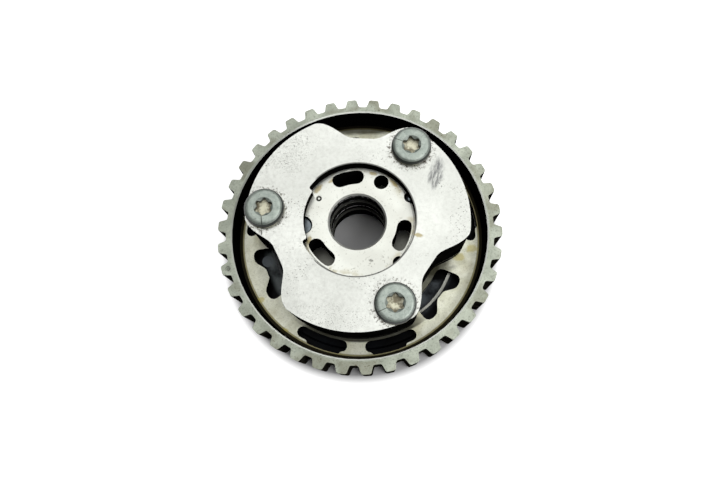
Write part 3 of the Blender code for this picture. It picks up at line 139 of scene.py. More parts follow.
# %% Make the strip round
def rounded_run(node):
    """The mesh of a bent strip with its run made round: its long edges stay sharp."""
    mesh = frame["nodes"][node].data.copy()
    bm = bmesh.new()
    bm.from_mesh(mesh)
    bmesh.ops.remove_doubles(bm, verts=bm.verts, dist=1e-6)
    bmesh.ops.join_triangles(bm, faces=bm.faces, angle_face_threshold=0.3, angle_shape_threshold=3.0)
    crease = bm.edges.layers.float.new("crease_edge")
    for edge in bm.edges:
        if edge.is_manifold and edge.calc_face_angle() > math.radians(60.0):
            edge[crease] = 1.0
    bm.to_mesh(mesh)
    bm.free()
    mesh.shade_smooth()
    piece = bpy.data.objects.new(node + "_rounding", mesh)
    bpy.context.scene.collection.objects.link(piece)
    piece.modifiers.new("round_bends", "SUBSURF").levels = 2
    piece.modifiers.new("flat_faces_stay_flat", "WEIGHTED_NORMAL")
    bpy.context.view_layer.update()
    finished = bpy.data.meshes.new_from_object(piece.evaluated_get(bpy.context.evaluated_depsgraph_get()))
    bpy.data.objects.remove(piece)
    return finished


strip = rounded_run("bias_spring")
print(f"strip: {len(strip.polygons)} faces")

# %% [markdown]
# When the rotor turns, the tang at the strip's inner end goes with it, while the coils stay with the
# housing. So the strip is split. The coils ride on the housing, and the last stretch before the tang
# is a piece of its own.

# %% Split the strip near its tang
def part_of_mesh(name, mesh, wanted):
    """A new object with those faces of a mesh whose middle passes the test."""
    bm = bmesh.new()
    bm.from_mesh(mesh)
    dropped = [face for face in bm.faces if not wanted(face.calc_center_median())]
    bmesh.ops.delete(bm, geom=dropped, context="FACES")
    for edge in bm.edges:
        edge.smooth = edge.is_manifold and edge.calc_face_angle() < math.radians(40.0)
    own = bpy.data.meshes.new(name)
    bm.to_mesh(own)
    bm.free()
    piece = bpy.data.objects.new(name, own)
    bpy.context.scene.collection.objects.link(piece)
    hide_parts("bias_spring")
    print(f"{name}: {len(own.polygons)} faces")
    return piece


def near_tang(point):
    """True on the last stretch of the innermost coil and on the tang."""
    behind = (TANG_ANGLE - math.degrees(math.atan2(point.y, point.x)) + 180.0) % 360.0 - 180.0
    return point.to_2d().length < INNER_COIL_RADIUS + COIL_STEP and -25.0 < behind < WINDING_SPAN


TANG_ANGLE = 15.2
TANG_LENGTH = 1.3 * MM
COIL_STEP = 3.5 * MM
WINDING_SPAN = 84.0
INNER_COIL_RADIUS = min(vertex.co.to_2d().length for vertex in strip.vertices) + TANG_LENGTH
coils = part_of_mesh("bias_spring_coils", strip, lambda point: not near_tang(point))
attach(coils, body_of("bias_spring"))
inner_end = part_of_mesh("bias_spring_inner_end", strip, near_tang)
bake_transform(inner_end)
pieces["bias_spring"] = coils
pieces["bias_spring_inner_end"] = inner_end
for node in frame["nodes"]:
    if node not in pieces:
        pieces[node] = frame["nodes"][node]

# %% [markdown]
# ## Colours and nodes
#
# A colour picked from a screen is an sRGB value, and a shader wants it linear, so one function turns
# hex text into linear numbers. A second function adds a shader node, sets what it is told to set
# and links what it is told to link. Everything below is built from these two.

# %% Colour and node helpers
def linear_colour(hex_text):
    """RGBA in linear light, from sRGB hex text such as #AABBCC."""
    channels = [int(hex_text[i:i + 2], 16) / 255 for i in (1, 3, 5)]
    linear = [c / 12.92 if c <= 0.04045 else ((c + 0.055) / 1.055) ** 2.4 for c in channels]
    return (*linear, 1.0)


def add_node(tree, kind, settings):
    """Adds a node. Each setting is a property's name, or an input's name or number; a socket is linked."""
    made = tree.nodes.new(kind)
    for key, value in settings.items():
        is_input = isinstance(key, int) or key in made.inputs
        if not is_input:
            setattr(made, key, value)
        elif isinstance(value, bpy.types.NodeSocket):
            tree.links.new(value, made.inputs[key])
        else:
            made.inputs[key].default_value = value
    return made


print("half of white, #808080, is", round(linear_colour("#808080")[0], 3), "in linear light")

# %% [markdown]
# A worn surface is a stack of coats: a base colour, and over it oil, rust or dirt, each in its own
# place. That place is a mask, a number from 0 to 1 at every point. A smooth ramp over a measured value
# makes a mask, and so does noise that is cut off at a level. The product of two masks is 1 only where
# both are.

# %% Masks and coats
MIX_FIRST = 6
MIX_SECOND = 7
MIX_RESULT = 2


def layer_colour(tree, below, above, mask):
    """Paints one colour over another where the mask is 1."""
    mix = add_node(tree, "ShaderNodeMix", {"data_type": "RGBA", 0: mask,
                                           MIX_FIRST: below, MIX_SECOND: above})
    return mix.outputs[MIX_RESULT]


def combine(tree, operation, first, second):
    """One Math node, for joining masks."""
    return add_node(tree, "ShaderNodeMath", {"operation": operation, 0: first, 1: second}).outputs[0]


def overlap(tree, *masks):
    """The product of masks."""
    product = masks[0]
    for mask in masks[1:]:
        product = combine(tree, "MULTIPLY", product, mask)
    return product


def paint(tree, below, colour, mask, strength=1.0):
    """Lays a colour, given as hex text, over another where a mask is 1, at a strength from 0 to 1."""
    if strength < 1.0:
        mask = overlap(tree, mask, strength)
    return layer_colour(tree, below, linear_colour(colour), mask)


def ramp(tree, value, low, high):
    """A mask that rises from 0 at low to 1 at high, or falls where low is the larger."""
    made = add_node(tree, "ShaderNodeMapRange", {"Value": value, "From Min": low, "From Max": high,
                                                 "interpolation_type": "SMOOTHSTEP"})
    return made.outputs["Result"]


def past(tree, length, limits):
    """A mask over a length: 0 at the first limit and 1 at the second, both in millimetres."""
    return ramp(tree, length, limits[0] * MM, limits[1] * MM)


def grain(tree, place, size, detail=2.0, roughness=0.6, seed=0.0):
    """Noise whose blotches are about size across, in metres; returns its value, 0 to 1."""
    shift = (seed, seed * 0.7, seed * 0.3)
    shifted = add_node(tree, "ShaderNodeVectorMath", {"operation": "ADD", 0: place, 1: shift})
    made = add_node(tree, "ShaderNodeTexNoise", {"Vector": shifted.outputs[0], "Scale": 0.5 / size,
                                                 "Detail": detail, "Roughness": roughness})
    return made.outputs[0]

# %% [markdown]
# Every material asks the same questions first: where is this point, how far is it from the axis, and
# which way does its face look? The true normal answers the last one. Its height is 1 on a flat that
# looks up or down, 0 on a wall, and something between on a softened edge or a chamfer.

# %% Start a material
def start_material(name, metallic, roughness):
    """A named Principled material, and the sockets that its patterns start from."""
    made = bpy.data.materials.new(name)
    made.use_nodes = True
    tree = made.node_tree
    shader = tree.nodes["Principled BSDF"]
    shader.inputs["Metallic"].default_value = metallic
    shader.inputs["Roughness"].default_value = roughness
    place = add_node(tree, "ShaderNodeTexCoord", {}).outputs["Object"]
    axes = add_node(tree, "ShaderNodeSeparateXYZ", {"Vector": place}).outputs
    flat = add_node(tree, "ShaderNodeVectorMath", {"operation": "MULTIPLY", 0: place,
                                                   1: (1.0, 1.0, 0.0)}).outputs[0]
    radius = add_node(tree, "ShaderNodeVectorMath", {"operation": "LENGTH", 0: flat}).outputs["Value"]
    facing = add_node(tree, "ShaderNodeNewGeometry", {}).outputs["True Normal"]
    upward = add_node(tree, "ShaderNodeSeparateXYZ", {"Vector": facing}).outputs["Z"]
    level = add_node(tree, "ShaderNodeMath", {"operation": "ABSOLUTE", 0: upward}).outputs[0]
    at = {"place": place, "flat": flat, "across": axes["X"], "height": axes["Z"], "radius": radius}
    at["edge"] = overlap(tree, ramp(tree, level, 0.99, 0.93), ramp(tree, level, 0.3, 0.5))
    at["slope"] = ramp(tree, level, 0.985, 0.65)
    at["sideways"] = ramp(tree, level, 0.6, 0.3)
    return made, tree, shader, at

# %% [markdown]
# A few tools serve all materials. Metal under oil or oxide no longer looks like metal, and neither does
# a place where shade or a highlight is painted, so metallic goes down where a mask says so. A stain that
# sits in one place is an oval with a ragged edge, placed in millimetres; a painted shadow is placed the
# same way. Fine unevenness goes into the normal. Last, a finished material is put on the pieces that
# wear it.

# %% Tools for all materials
def bare_metal(tree, shader, amount, coat_and_paint_mask):
    """Metallic by amount, but none where a mask says that oxide or oil covers the metal, or that shade or
    a highlight is painted there.
    """
    clear = combine(tree, "SUBTRACT", 1.0, coat_and_paint_mask)
    tree.links.new(overlap(tree, clear, amount), shader.inputs["Metallic"])


def distance_from(tree, at, centre):
    """Distance in plan from a place given in millimetres."""
    away = add_node(tree, "ShaderNodeVectorMath", {"operation": "DISTANCE", 0: at["flat"],
                                                   1: (centre[0] * MM, centre[1] * MM, 0.0)})
    return away.outputs["Value"]


def blot(tree, at, centre, half_sizes, angle=0.0, seed=0.0):
    """A stain or a painted shadow: the mask of an oval with a ragged edge; centre and half sizes in mm,
    angle in degrees.
    """
    own = add_node(tree, "ShaderNodeMapping", {
        "vector_type": "TEXTURE", "Vector": at["flat"],
        "Location": (centre[0] * MM, centre[1] * MM, 0.0),
        "Rotation": (0.0, 0.0, math.radians(angle)),
        "Scale": (half_sizes[0] * MM, half_sizes[1] * MM, 1.0)}).outputs[0]
    away = add_node(tree, "ShaderNodeVectorMath", {"operation": "LENGTH", 0: own}).outputs["Value"]
    ragged = combine(tree, "ADD", away, grain(tree, own, 0.4, 3.0, 0.7, seed))
    return ramp(tree, ragged, 1.45, 0.95)


def finish_bump(tree, shader, height, strength, distance):
    """Feeds a height pattern to the shader's normal."""
    bump = add_node(tree, "ShaderNodeBump", {"Height": height, "Strength": strength, "Distance": distance})
    tree.links.new(bump.outputs["Normal"], shader.inputs["Normal"])


def wear_material(material, *nodes):
    """Gives the material to each named piece."""
    for node in nodes:
        mesh = pieces[node].data
        mesh.materials.clear()
        mesh.materials.append(material)
    print(f"{material.name}: {len(nodes)} pieces, {len(material.node_tree.nodes)} shader nodes")

# %% [markdown]
# ## Sintered steel: the toothed pulley
#
# The pulley is pressed from iron powder, sintered and steam treated. That leaves a grey-green skin
# full of fine pores. The web, which was sized in a second press, is paler and a little yellow. Both
# skins are two tones blended in blotches, with the pores as fine dark noise over them.

# %% The skins of rim and web
def rim_skin(tree, at, pores):
    """Grey-green, blotched and porous."""
    blotch = ramp(tree, grain(tree, at["place"], 3.0 * MM, 3.0), 0.3, 0.7)
    face = layer_colour(tree, linear_colour("#A2A89A"), linear_colour("#BAC0B1"), blotch)
    return paint(tree, face, "#6E7166", pores, 0.6)


def web_skin(tree, at, pores):
    """Pale and slightly yellow, clouded."""
    cloud = ramp(tree, grain(tree, at["place"], 2.2 * MM, 4.0, 0.65, seed=2.0), 0.3, 0.7)
    face = layer_colour(tree, linear_colour("#D6D7C2"), linear_colour("#EAEBDA"), cloud)
    return paint(tree, face, "#8F8D78", pores, 0.35)

# %% [markdown]
# Oil has crept over the web. In the corner under the rim it dried to a yellow-brown line; the black
# beyond it, in the corner itself, is painted shade. A thin film and a few thicker patches lie farther
# in. The dark pools beside the stator and under the top of the rim, and the black at the stator's
# foot on the side away from the light, are painted shadow. The lines are pairs of radii, one where
# the mask is 0 and one where it is 1. Each patch is a centre, two half sizes and a seed or an angle.

# %% Dried oil and painted shade on the web
WEB_ENDS = (51.0, 50.4)
OIL_LINE_STARTS = (48.6, 49.0)
CORNER_STARTS = (49.3, 49.6)
CORNER_ENDS = (51.2, 51.0)
STATOR_FOOT = (44.3, 43.5)
OIL_PATCHES = (((46.2, -5.8), (3.4, 2.4), 1.0), ((40.8, -9.4), (3.4, 2.2), 2.0),
               ((-40.6, -26.4), (2.2, 1.6), 3.0), ((-31.0, -39.0), (2.6, 1.4), 4.0))
SHADOW_POOLS = (((27.0, -11.4), (15.0, 9.0), -5.0), ((28.0, -19.0), (6.0, 13.0), -15.0),
             ((0.0, 49.2), (24.0, 3.8), 0.0))


def web_stains_and_shade(tree, at, face, in_web):
    """Lays the dried oil over the web, and painted shade and shadow in its corner and round the stator."""
    line = past(tree, at["radius"], OIL_LINE_STARTS)
    face = paint(tree, face, "#7B713A", overlap(tree, line, in_web), 0.8)
    film = ramp(tree, grain(tree, at["place"], 7.0 * MM, 3.0, seed=3.0), 0.5, 0.7)
    face = paint(tree, face, "#9A9160", overlap(tree, film, in_web), 0.35)
    for centre, half_sizes, seed in OIL_PATCHES:
        patch = blot(tree, at, centre, half_sizes, 0.0, seed)
        face = paint(tree, face, "#BBAF5E", overlap(tree, patch, in_web), 0.6)
    # Painted shadow: dark pools beside the stator and under the top of the rim.
    for centre, half_sizes, angle in SHADOW_POOLS:
        shadow_pool = blot(tree, at, centre, half_sizes, angle, 2.0)
        face = paint(tree, face, "#2A2818", overlap(tree, shadow_pool, in_web), 0.8)
    # Painted shadow: the stator's foot black on the side away from the light.
    foot = overlap(tree, past(tree, at["radius"], STATOR_FOOT),
                   blot(tree, at, (-3.0, -43.0), (44.0, 16.0), 0.0, 6.0))
    face = paint(tree, face, "#16140C", overlap(tree, foot, in_web), 0.9)
    # Painted shade: the corner under the rim near black.
    corner = overlap(tree, past(tree, at["radius"], CORNER_STARTS), past(tree, at["radius"], CORNER_ENDS))
    return paint(tree, face, "#100D07", corner, 0.96)

# %% [markdown]
# The chamfer inside the rim was turned after sintering; its shine is a painted highlight, near white
# and fainter towards the left. The belt's dust has darkened the edges of the teeth, and rust sits on
# them in spots. One tooth carries a small ring mark. The walls carry black oxide and are painted darker
# still as the shade on them: streaky on the teeth, near black inside the rim.

# %% The chamfer, the teeth and the walls
CHAMFER_STARTS = (50.9, 51.1)
CHAMFER_ENDS = (52.4, 51.8)
FAINTER_SIDE = (-20.0, -52.0)
TEETH_START = (51.8, 52.4)
INNER_WALL = (52.6, 51.9)
TOOTH_MARK = (-51.6, -15.9)


def rim_wear(tree, at, face, chamfer):
    """Paints a near-white highlight on the chamfer, fainter to the left, and dirt and rust over the teeth.
    """
    on_teeth = past(tree, at["radius"], TEETH_START)
    # Painted highlight: the chamfer near white, fainter towards the left.
    face = paint(tree, face, "#F6F9F0", chamfer)
    fainter_left = overlap(tree, chamfer, past(tree, at["across"], FAINTER_SIDE))
    face = paint(tree, face, "#9DA296", fainter_left, 0.75)
    face = paint(tree, face, "#2C2A24", overlap(tree, at["edge"], on_teeth), 0.85)
    zones = ramp(tree, grain(tree, at["place"], 6.0 * MM, 2.0, seed=5.0), 0.45, 0.62)
    face = paint(tree, face, "#77735F", overlap(tree, zones, on_teeth), 0.45)
    spots = ramp(tree, grain(tree, at["place"], 0.6 * MM, 3.0, seed=7.0), 0.62, 0.7)
    face = paint(tree, face, "#5C5240", overlap(tree, spots, zones, on_teeth), 0.8)
    return paint(tree, face, "#1D1C18", blot(tree, at, TOOTH_MARK, (1.0, 1.0)), 0.5)


def oxide_and_shade_walls(tree, at, face):
    """Lays black oxide over the walls, with painted shade that makes them darker, near black inside the
    rim.
    """
    # Black oxide on the walls, with painted shade that makes them darker.
    streak = ramp(tree, grain(tree, at["place"], 2.0 * MM, 3.0, seed=11.0), 0.35, 0.7)
    wall = layer_colour(tree, linear_colour("#0F0E0B"), linear_colour("#2C2A23"), streak)
    # Painted shade: the rim's inner wall near black.
    wall = paint(tree, wall, "#060606", past(tree, at["radius"], INNER_WALL))
    return layer_colour(tree, face, wall, at["sideways"])

# %% [markdown]
# The coats are put together from the bottom up. The walls are so matt and oily that they mirror
# nothing, so the specular level is 0, and metallic is taken away on the walls and on the chamfer.

# %% Sintered steel
def make_sintered_steel():
    """Pale porous steel: oxide walls and painted shade, a painted chamfer highlight, dried oil and rust.
    """
    made, tree, shader, at = start_material("sintered_steam_treated_steel", 0.35, 0.5)
    pores = ramp(tree, grain(tree, at["place"], 0.32 * MM, 3.0, 0.7), 0.5, 0.68)
    in_web = past(tree, at["radius"], WEB_ENDS)
    chamfer = overlap(tree, at["edge"], past(tree, at["radius"], CHAMFER_ENDS),
                      past(tree, at["radius"], CHAMFER_STARTS))
    face = layer_colour(tree, rim_skin(tree, at, pores), web_skin(tree, at, pores), in_web)
    face = web_stains_and_shade(tree, at, face, in_web)
    face = rim_wear(tree, at, face, chamfer)
    tree.links.new(oxide_and_shade_walls(tree, at, face), shader.inputs["Base Color"])
    rough = add_node(tree, "ShaderNodeMapRange", {
        "Value": grain(tree, at["place"], 1.5 * MM, 3.0, seed=2.0), "To Min": 0.36, "To Max": 0.66})
    tree.links.new(rough.outputs["Result"], shader.inputs["Roughness"])
    bare = add_node(tree, "ShaderNodeMapRange", {"Value": in_web, "To Min": 0.35, "To Max": 0.6})
    off_walls = combine(tree, "SUBTRACT", 1.0, at["sideways"])
    bare_metal(tree, shader, overlap(tree, bare.outputs["Result"], off_walls), chamfer)
    shader.inputs["Specular IOR Level"].default_value = 0.0
    finish_bump(tree, shader, grain(tree, at["place"], 0.4 * MM, 3.0), 0.3, 0.06 * MM)
    return made


wear_material(make_sintered_steel(), "timing_pulley")

# %% [markdown]
# The stator ring between pulley and cover is the same kind of sintered steel, almost black with its
# oxide and painted darker still as the shade its sides lie in. Only its sides show.

# %% Dark sintered steel
def make_dark_steel():
    """Oxide-black sintered steel, wet with oil, painted darker as shade."""
    made, tree, shader, at = start_material("oxide_and_shade_black_sintered_steel", 0.0, 0.5)
    streak = ramp(tree, grain(tree, at["place"], 2.5 * MM, 3.0), 0.4, 0.75)
    # Oxide black, painted darker as the shade on the stator's sides.
    tone = layer_colour(tree, linear_colour("#070706"), linear_colour("#191814"), streak)
    tree.links.new(tone, shader.inputs["Base Color"])
    shader.inputs["Specular IOR Level"].default_value = 0.0
    finish_bump(tree, shader, grain(tree, at["place"], 0.5 * MM, 3.0), 0.2, 0.05 * MM)
    return made


wear_material(make_dark_steel(), "stator")

# %% [markdown]
# ## Ground steel: the cover
#
# The cover is surface ground: bright, nearly white under a soft light, with very fine random
# scratches. Years of oil have left grey specks, and brown crumbs gather round the screws. The specks
# are noise cut off high, and a second, larger noise, an oval or a ring round a screw decides where
# they gather.

# %% Specks and crumbs
def axis_of(node):
    """X and Y of a piece's middle, in millimetres."""
    low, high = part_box(node)
    return ((low.x + high.x) / 2 / MM, (low.y + high.y) / 2 / MM)


SCREW_AXES = [axis_of(f"cover_screw_{number}") for number in (1, 2, 3)]
CRUMBS_END = (10.8, 8.4)
PEPPERED = (((-24.0, 28.0), (16.0, 9.0), 40.0), ((-8.0, -37.0), (20.0, 7.0), -4.0))
print("screws stand at", [(round(x, 1), round(y, 1)) for x, y in SCREW_AXES])


def cover_specks(tree, at, tone):
    """Lays oil specks over the cover, and crumbs round its screws."""
    specks = ramp(tree, grain(tree, at["place"], 0.3 * MM, 3.0, seed=9.0), 0.6, 0.66)
    gathered = ramp(tree, grain(tree, at["place"], 9.0 * MM, 3.0, seed=1.0), 0.46, 0.6)
    tone = paint(tree, tone, "#4B4A44", overlap(tree, specks, gathered), 0.8)
    pepper = ramp(tree, grain(tree, at["place"], 0.2 * MM, 3.0, seed=21.0), 0.58, 0.66)
    for centre, half_sizes, angle in PEPPERED:
        dusted = overlap(tree, pepper, blot(tree, at, centre, half_sizes, angle, 5.0))
        tone = paint(tree, tone, "#45433B", dusted, 0.65)
    crumbs = ramp(tree, grain(tree, at["place"], 0.55 * MM, 4.0, 0.7, seed=12.0), 0.52, 0.6)
    for screw in SCREW_AXES:
        near = past(tree, distance_from(tree, at, screw), CRUMBS_END)
        tone = paint(tree, tone, "#3B3226", overlap(tree, crumbs, near), 0.85)
    return tone

# %% [markdown]
# Single marks come next. A smudge near the top screw was rubbed in one direction, so its noise is
# stretched four times along that direction. A short scratch lies beside the left screw, and a drop of
# oil has dried at the opening. The opening's edge and a narrow lip along it are painted dark, as the
# shade of the gap between cover and rotor, apart from the tab that reaches inside it.

# %% Smudge, scratch and the opening's edge
SMUDGE_PLACE = (30.3, 17.6)
SMUDGE_ANGLE = 74.0
OPENING_ENDS = (23.5, 23.0)
LIP_STARTS = (22.1, 22.2)
LIP_ENDS = (22.8, 22.5)
LIP_SIDE = (-16.5, -15.0)


def cover_marks_and_shade(tree, at, tone):
    """Lays the single marks over the cover, and painted shade along its opening."""
    along = add_node(tree, "ShaderNodeMapping", {"vector_type": "TEXTURE", "Vector": at["flat"],
                                                 "Rotation": (0.0, 0.0, math.radians(SMUDGE_ANGLE)),
                                                 "Scale": (4.0, 1.0, 1.0)})
    smear_and_sheen = ramp(tree, grain(tree, along.outputs[0], 0.5 * MM, 4.0, 0.7, seed=14.0), 0.3, 0.6)
    smudge = blot(tree, at, SMUDGE_PLACE, (8.5, 3.6), SMUDGE_ANGLE)
    tone = paint(tree, tone, "#505153", overlap(tree, smudge, smear_and_sheen), 0.8)
    tone = paint(tree, tone, "#2B2922", blot(tree, at, (-35.9, -5.1), (1.7, 0.35), 90.0), 0.8)
    # Painted shade: the opening's edge and a lip along it dark, as the gap's shadow.
    opening = past(tree, at["radius"], OPENING_ENDS)
    tone = paint(tree, tone, "#161412", overlap(tree, at["edge"], opening), 0.97)
    lip_shade = overlap(tree, past(tree, at["radius"], LIP_STARTS), past(tree, at["radius"], LIP_ENDS),
                  past(tree, at["across"], LIP_SIDE))
    tone = paint(tree, tone, "#242220", lip_shade, 0.8)
    return paint(tree, tone, "#8A7A3C", blot(tree, at, (23.0, -6.9), (2.2, 1.1), -15.0), 0.7)

# %% [markdown]
# Under all this lies the ground skin, two near tones with fine scratches. The sides are painted black,
# for old oil and for the shade on them: there the colour is dark, and neither metallic nor specular
# is left to mirror anything.

# %% Ground steel
def make_ground_steel():
    """Bright ground steel with fine scratches, specks and marks, painted shade at its opening and black
    sides.
    """
    made, tree, shader, at = start_material("surface_ground_steel", 0.75, 0.34)
    broad = ramp(tree, grain(tree, at["place"], 14.0 * MM, 2.0), 0.3, 0.7)
    tone = layer_colour(tree, linear_colour("#BFC1BB"), linear_colour("#D0D2CC"), broad)
    fine = ramp(tree, grain(tree, at["place"], 0.5 * MM, 4.0, 0.75, seed=4.0), 0.35, 0.75)
    tone = paint(tree, tone, "#A9AAA4", fine, 0.4)
    tone = cover_marks_and_shade(tree, at, cover_specks(tree, at, tone))
    # The sides painted black, for old oil and for the shade on them.
    tone = paint(tree, tone, "#0B0A09", at["sideways"])
    tree.links.new(tone, shader.inputs["Base Color"])
    bare_metal(tree, shader, 0.75, at["sideways"])
    shader.inputs["Specular IOR Level"].default_value = 0.0
    rough = add_node(tree, "ShaderNodeMapRange", {"Value": fine, "To Min": 0.28, "To Max": 0.42})
    tree.links.new(rough.outputs["Result"], shader.inputs["Roughness"])
    finish_bump(tree, shader, grain(tree, at["place"], 0.3 * MM, 4.0, 0.7), 0.08, 0.02 * MM)
    return made


wear_material(make_ground_steel(), "cover_plate")

# %% [markdown]
# ## Machined steel: the rotor
#
# The rotor's face is finely turned and as bright as the cover. Brown oil varnish clings to it near the
# cover's edge, and a small ring mark and a dull spot sit on it. Below the face its holes are painted
# darker, as shade.

# %% The rotor's face
VARNISH_PATCHES = (((-15.2, 13.6), (3.0, 1.6), 48.0), ((-9.2, 17.2), (3.2, 1.2), 30.0),
                   ((14.4, 15.2), (3.0, 1.2), -44.0), ((-18.4, -7.0), (2.2, 1.2), 70.0),
                   ((6.0, 19.6), (2.2, 1.0), -18.0))
VARNISH_GATHERS = (17.5, 21.5)
ROTOR_MARK = (-14.93, 9.51)


def rotor_face(tree, at):
    """Two bright tones, with varnish, specks and marks, and painted shade below the face."""
    broad = ramp(tree, grain(tree, at["place"], 8.0 * MM, 2.0), 0.3, 0.7)
    tone = layer_colour(tree, linear_colour("#BDBEB6"), linear_colour("#CED0C8"), broad)
    patch = ramp(tree, grain(tree, at["place"], 3.0 * MM, 3.0, seed=6.0), 0.52, 0.68)
    edge = past(tree, at["radius"], VARNISH_GATHERS)
    tone = paint(tree, tone, "#8F8250", overlap(tree, edge, patch), 0.5)
    for centre, half_sizes, angle in VARNISH_PATCHES:
        tone = paint(tree, tone, "#84722E", blot(tree, at, centre, half_sizes, angle, centre[0]), 0.65)
    specks = ramp(tree, grain(tree, at["place"], 0.35 * MM, 3.0, seed=8.0), 0.62, 0.68)
    tone = paint(tree, tone, "#4A4637", specks, 0.5)
    tone = paint(tree, tone, "#5F5F5A", blot(tree, at, (5.2, -15.4), (1.2, 0.7), -20.0), 0.7)
    from_mark = distance_from(tree, at, ROTOR_MARK)
    ring = overlap(tree, past(tree, from_mark, (1.2, 1.0)), past(tree, from_mark, (0.35, 0.5)))
    tone = paint(tree, tone, "#1B1A16", ring, 0.95)
    # Painted shade: darker below the face, in the holes.
    deep_shade = ramp(tree, at["height"], rotor_high.z - 1.0 * MM, rotor_high.z - 4.0 * MM)
    return paint(tree, tone, "#4C4C46", deep_shade, 0.9)

# %% [markdown]
# The walls of bore and pockets are painted nearly black as shade. Fine grey rings in the bore are
# painted glints along the turning marks: noise that sees only the height. Where a tool left a sharp
# corner, a broken bright ring is painted as a highlight, a thin band of height broken up by noise, and
# the bore's mouth gets a painted highlight too. The depths below are millimetres under the rotor's face.

# %% The rotor's bore, and machined steel
BORE_ENDS = (14.0, 13.4)
GLINT_DEPTHS = (0.9, 2.0, 5.7, 7.5, 13.0)


def bore_glints(tree, at, tone):
    """Paints highlights over the bore: glints along turning marks, broken bright rings and a bright mouth.
    """
    in_bore = past(tree, at["radius"], BORE_ENDS)
    along_bore = add_node(tree, "ShaderNodeCombineXYZ", {"Z": at["height"]}).outputs[0]
    # Painted glints: light grey rings along the turning marks.
    turned = ramp(tree, grain(tree, along_bore, 0.3 * MM, 2.0), 0.6, 0.66)
    tone = paint(tree, tone, "#8C8C86", overlap(tree, turned, in_bore, at["sideways"]), 0.6)
    dashes = ramp(tree, grain(tree, at["place"], 0.8 * MM, 2.0, seed=17.0), 0.42, 0.55)
    # Painted highlights: broken white rings at the depths of sharp corners.
    for depth in GLINT_DEPTHS:
        away = combine(tree, "SUBTRACT", at["height"], rotor_high.z - depth * MM)
        ring = past(tree, combine(tree, "ABSOLUTE", away, 0.0), (0.22, 0.1))
        tone = paint(tree, tone, "#FFFFFF", overlap(tree, ring, dashes, in_bore), 0.95)
    # Painted highlight: the bore's mouth near white.
    return paint(tree, tone, "#D8D9D2", overlap(tree, at["edge"], in_bore), 0.9)


def make_machined_steel():
    """Bright turned steel with yellow oil varnish near its face's edge, painted shade in its holes and
    painted glints in its bore.
    """
    made, tree, shader, at = start_material("fine_turned_steel", 0.7, 0.32)
    # Painted shade: the walls of bore and pockets near black.
    tone = paint(tree, rotor_face(tree, at), "#0C0C0B", at["sideways"])
    tree.links.new(bore_glints(tree, at, tone), shader.inputs["Base Color"])
    bare_metal(tree, shader, 0.7, at["sideways"])
    shader.inputs["Specular IOR Level"].default_value = 0.0
    finish_bump(tree, shader, grain(tree, at["place"], 0.3 * MM, 3.0), 0.06, 0.02 * MM)
    return made


wear_material(make_machined_steel(), "rotor")

# %% [markdown]
# ## Zinc flake: the screws
#
# The screws and rivets have a zinc flake coating, dipped and baked: a soft blue-green grey with a dull
# sheen. The rounded edge and the walls of the star socket are painted near black as shade, and the
# socket's floor is painted pale as the light on it, with dirt in patches. A thin scratch crosses each
# head.

# %% Zinc flake coating
SCRATCHES = (((-35.35, -1.8), (4.6, 0.3), -83.5), ((9.5, -35.0), (4.6, 0.22), 23.7),
             ((16.4, 30.2), (2.8, 0.22), -22.7))
SOCKET_DEPTH = 2.5 * MM
socket_floor = screw_high.z - SOCKET_DEPTH
print(f"socket floors at {socket_floor / MM:.1f} mm")


def make_zinc_flake():
    """Blue-grey zinc flake with painted shade on its slopes, and a socket floor painted pale as light,
    with grime.
    """
    made, tree, shader, at = start_material("zinc_flake_coated_steel", 0.45, 0.42)
    cloud = ramp(tree, grain(tree, at["place"], 1.2 * MM, 4.0, 0.7), 0.3, 0.7)
    tone = layer_colour(tree, linear_colour("#8B958D"), linear_colour("#A8B1A8"), cloud)
    specks = ramp(tree, grain(tree, at["place"], 0.28 * MM, 3.0, seed=5.0), 0.6, 0.68)
    tone = paint(tree, tone, "#3C3C34", specks, 0.6)
    for centre, half_sizes, angle in SCRATCHES:
        tone = paint(tree, tone, "#24241E", blot(tree, at, centre, half_sizes, angle), 0.8)
    # Painted shade: slopes, rounded edges and socket walls near black.
    tone = paint(tree, tone, "#0D0F0C", at["slope"], 0.92)
    # Painted light: the socket floor pale, with grime in patches.
    grime = ramp(tree, grain(tree, at["place"], 1.6 * MM, 4.0, 0.6, seed=3.0), 0.42, 0.6)
    lit_floor_and_grime = layer_colour(tree, linear_colour("#C6C4AC"), linear_colour("#6A6450"), grime)
    above_floor = combine(tree, "SUBTRACT", at["height"], socket_floor)
    on_floor = overlap(tree, past(tree, above_floor, (0.5, 0.1)), past(tree, above_floor, (-1.2, -0.8)))
    tone = layer_colour(tree, tone, lit_floor_and_grime, on_floor)
    tree.links.new(tone, shader.inputs["Base Color"])
    bare_metal(tree, shader, 0.45, at["slope"])
    finish_bump(tree, shader, grain(tree, at["place"], 0.5 * MM, 3.0), 0.15, 0.05 * MM)
    return made


wear_material(make_zinc_flake(), "cover_screw_1", "cover_screw_2", "cover_screw_3",
              "cover_rivet_1", "cover_rivet_2", "cover_rivet_3", "spring_anchor_post")

# %% [markdown]
# ## Phosphated sheet: the rear cover
#
# The thin cover behind the web is pressed sheet with a black phosphate coat. Near the axis its upper
# side gets a painted reflection, a blue-grey sheen that is lighter on the left, and a small dish beside
# the left window gets a painted highlight. A painted shadow darkens it below the right window.

# %% Phosphated sheet
DISH_PLACE = (-39.7, -9.0)
DISH_ENDS = (2.7, 2.2)
SHEEN_REACH = (42.5, 39.5)
sheet_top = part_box("spring_cover")[1].z
print(f"rear cover's upper side at {sheet_top / MM:.1f} mm")


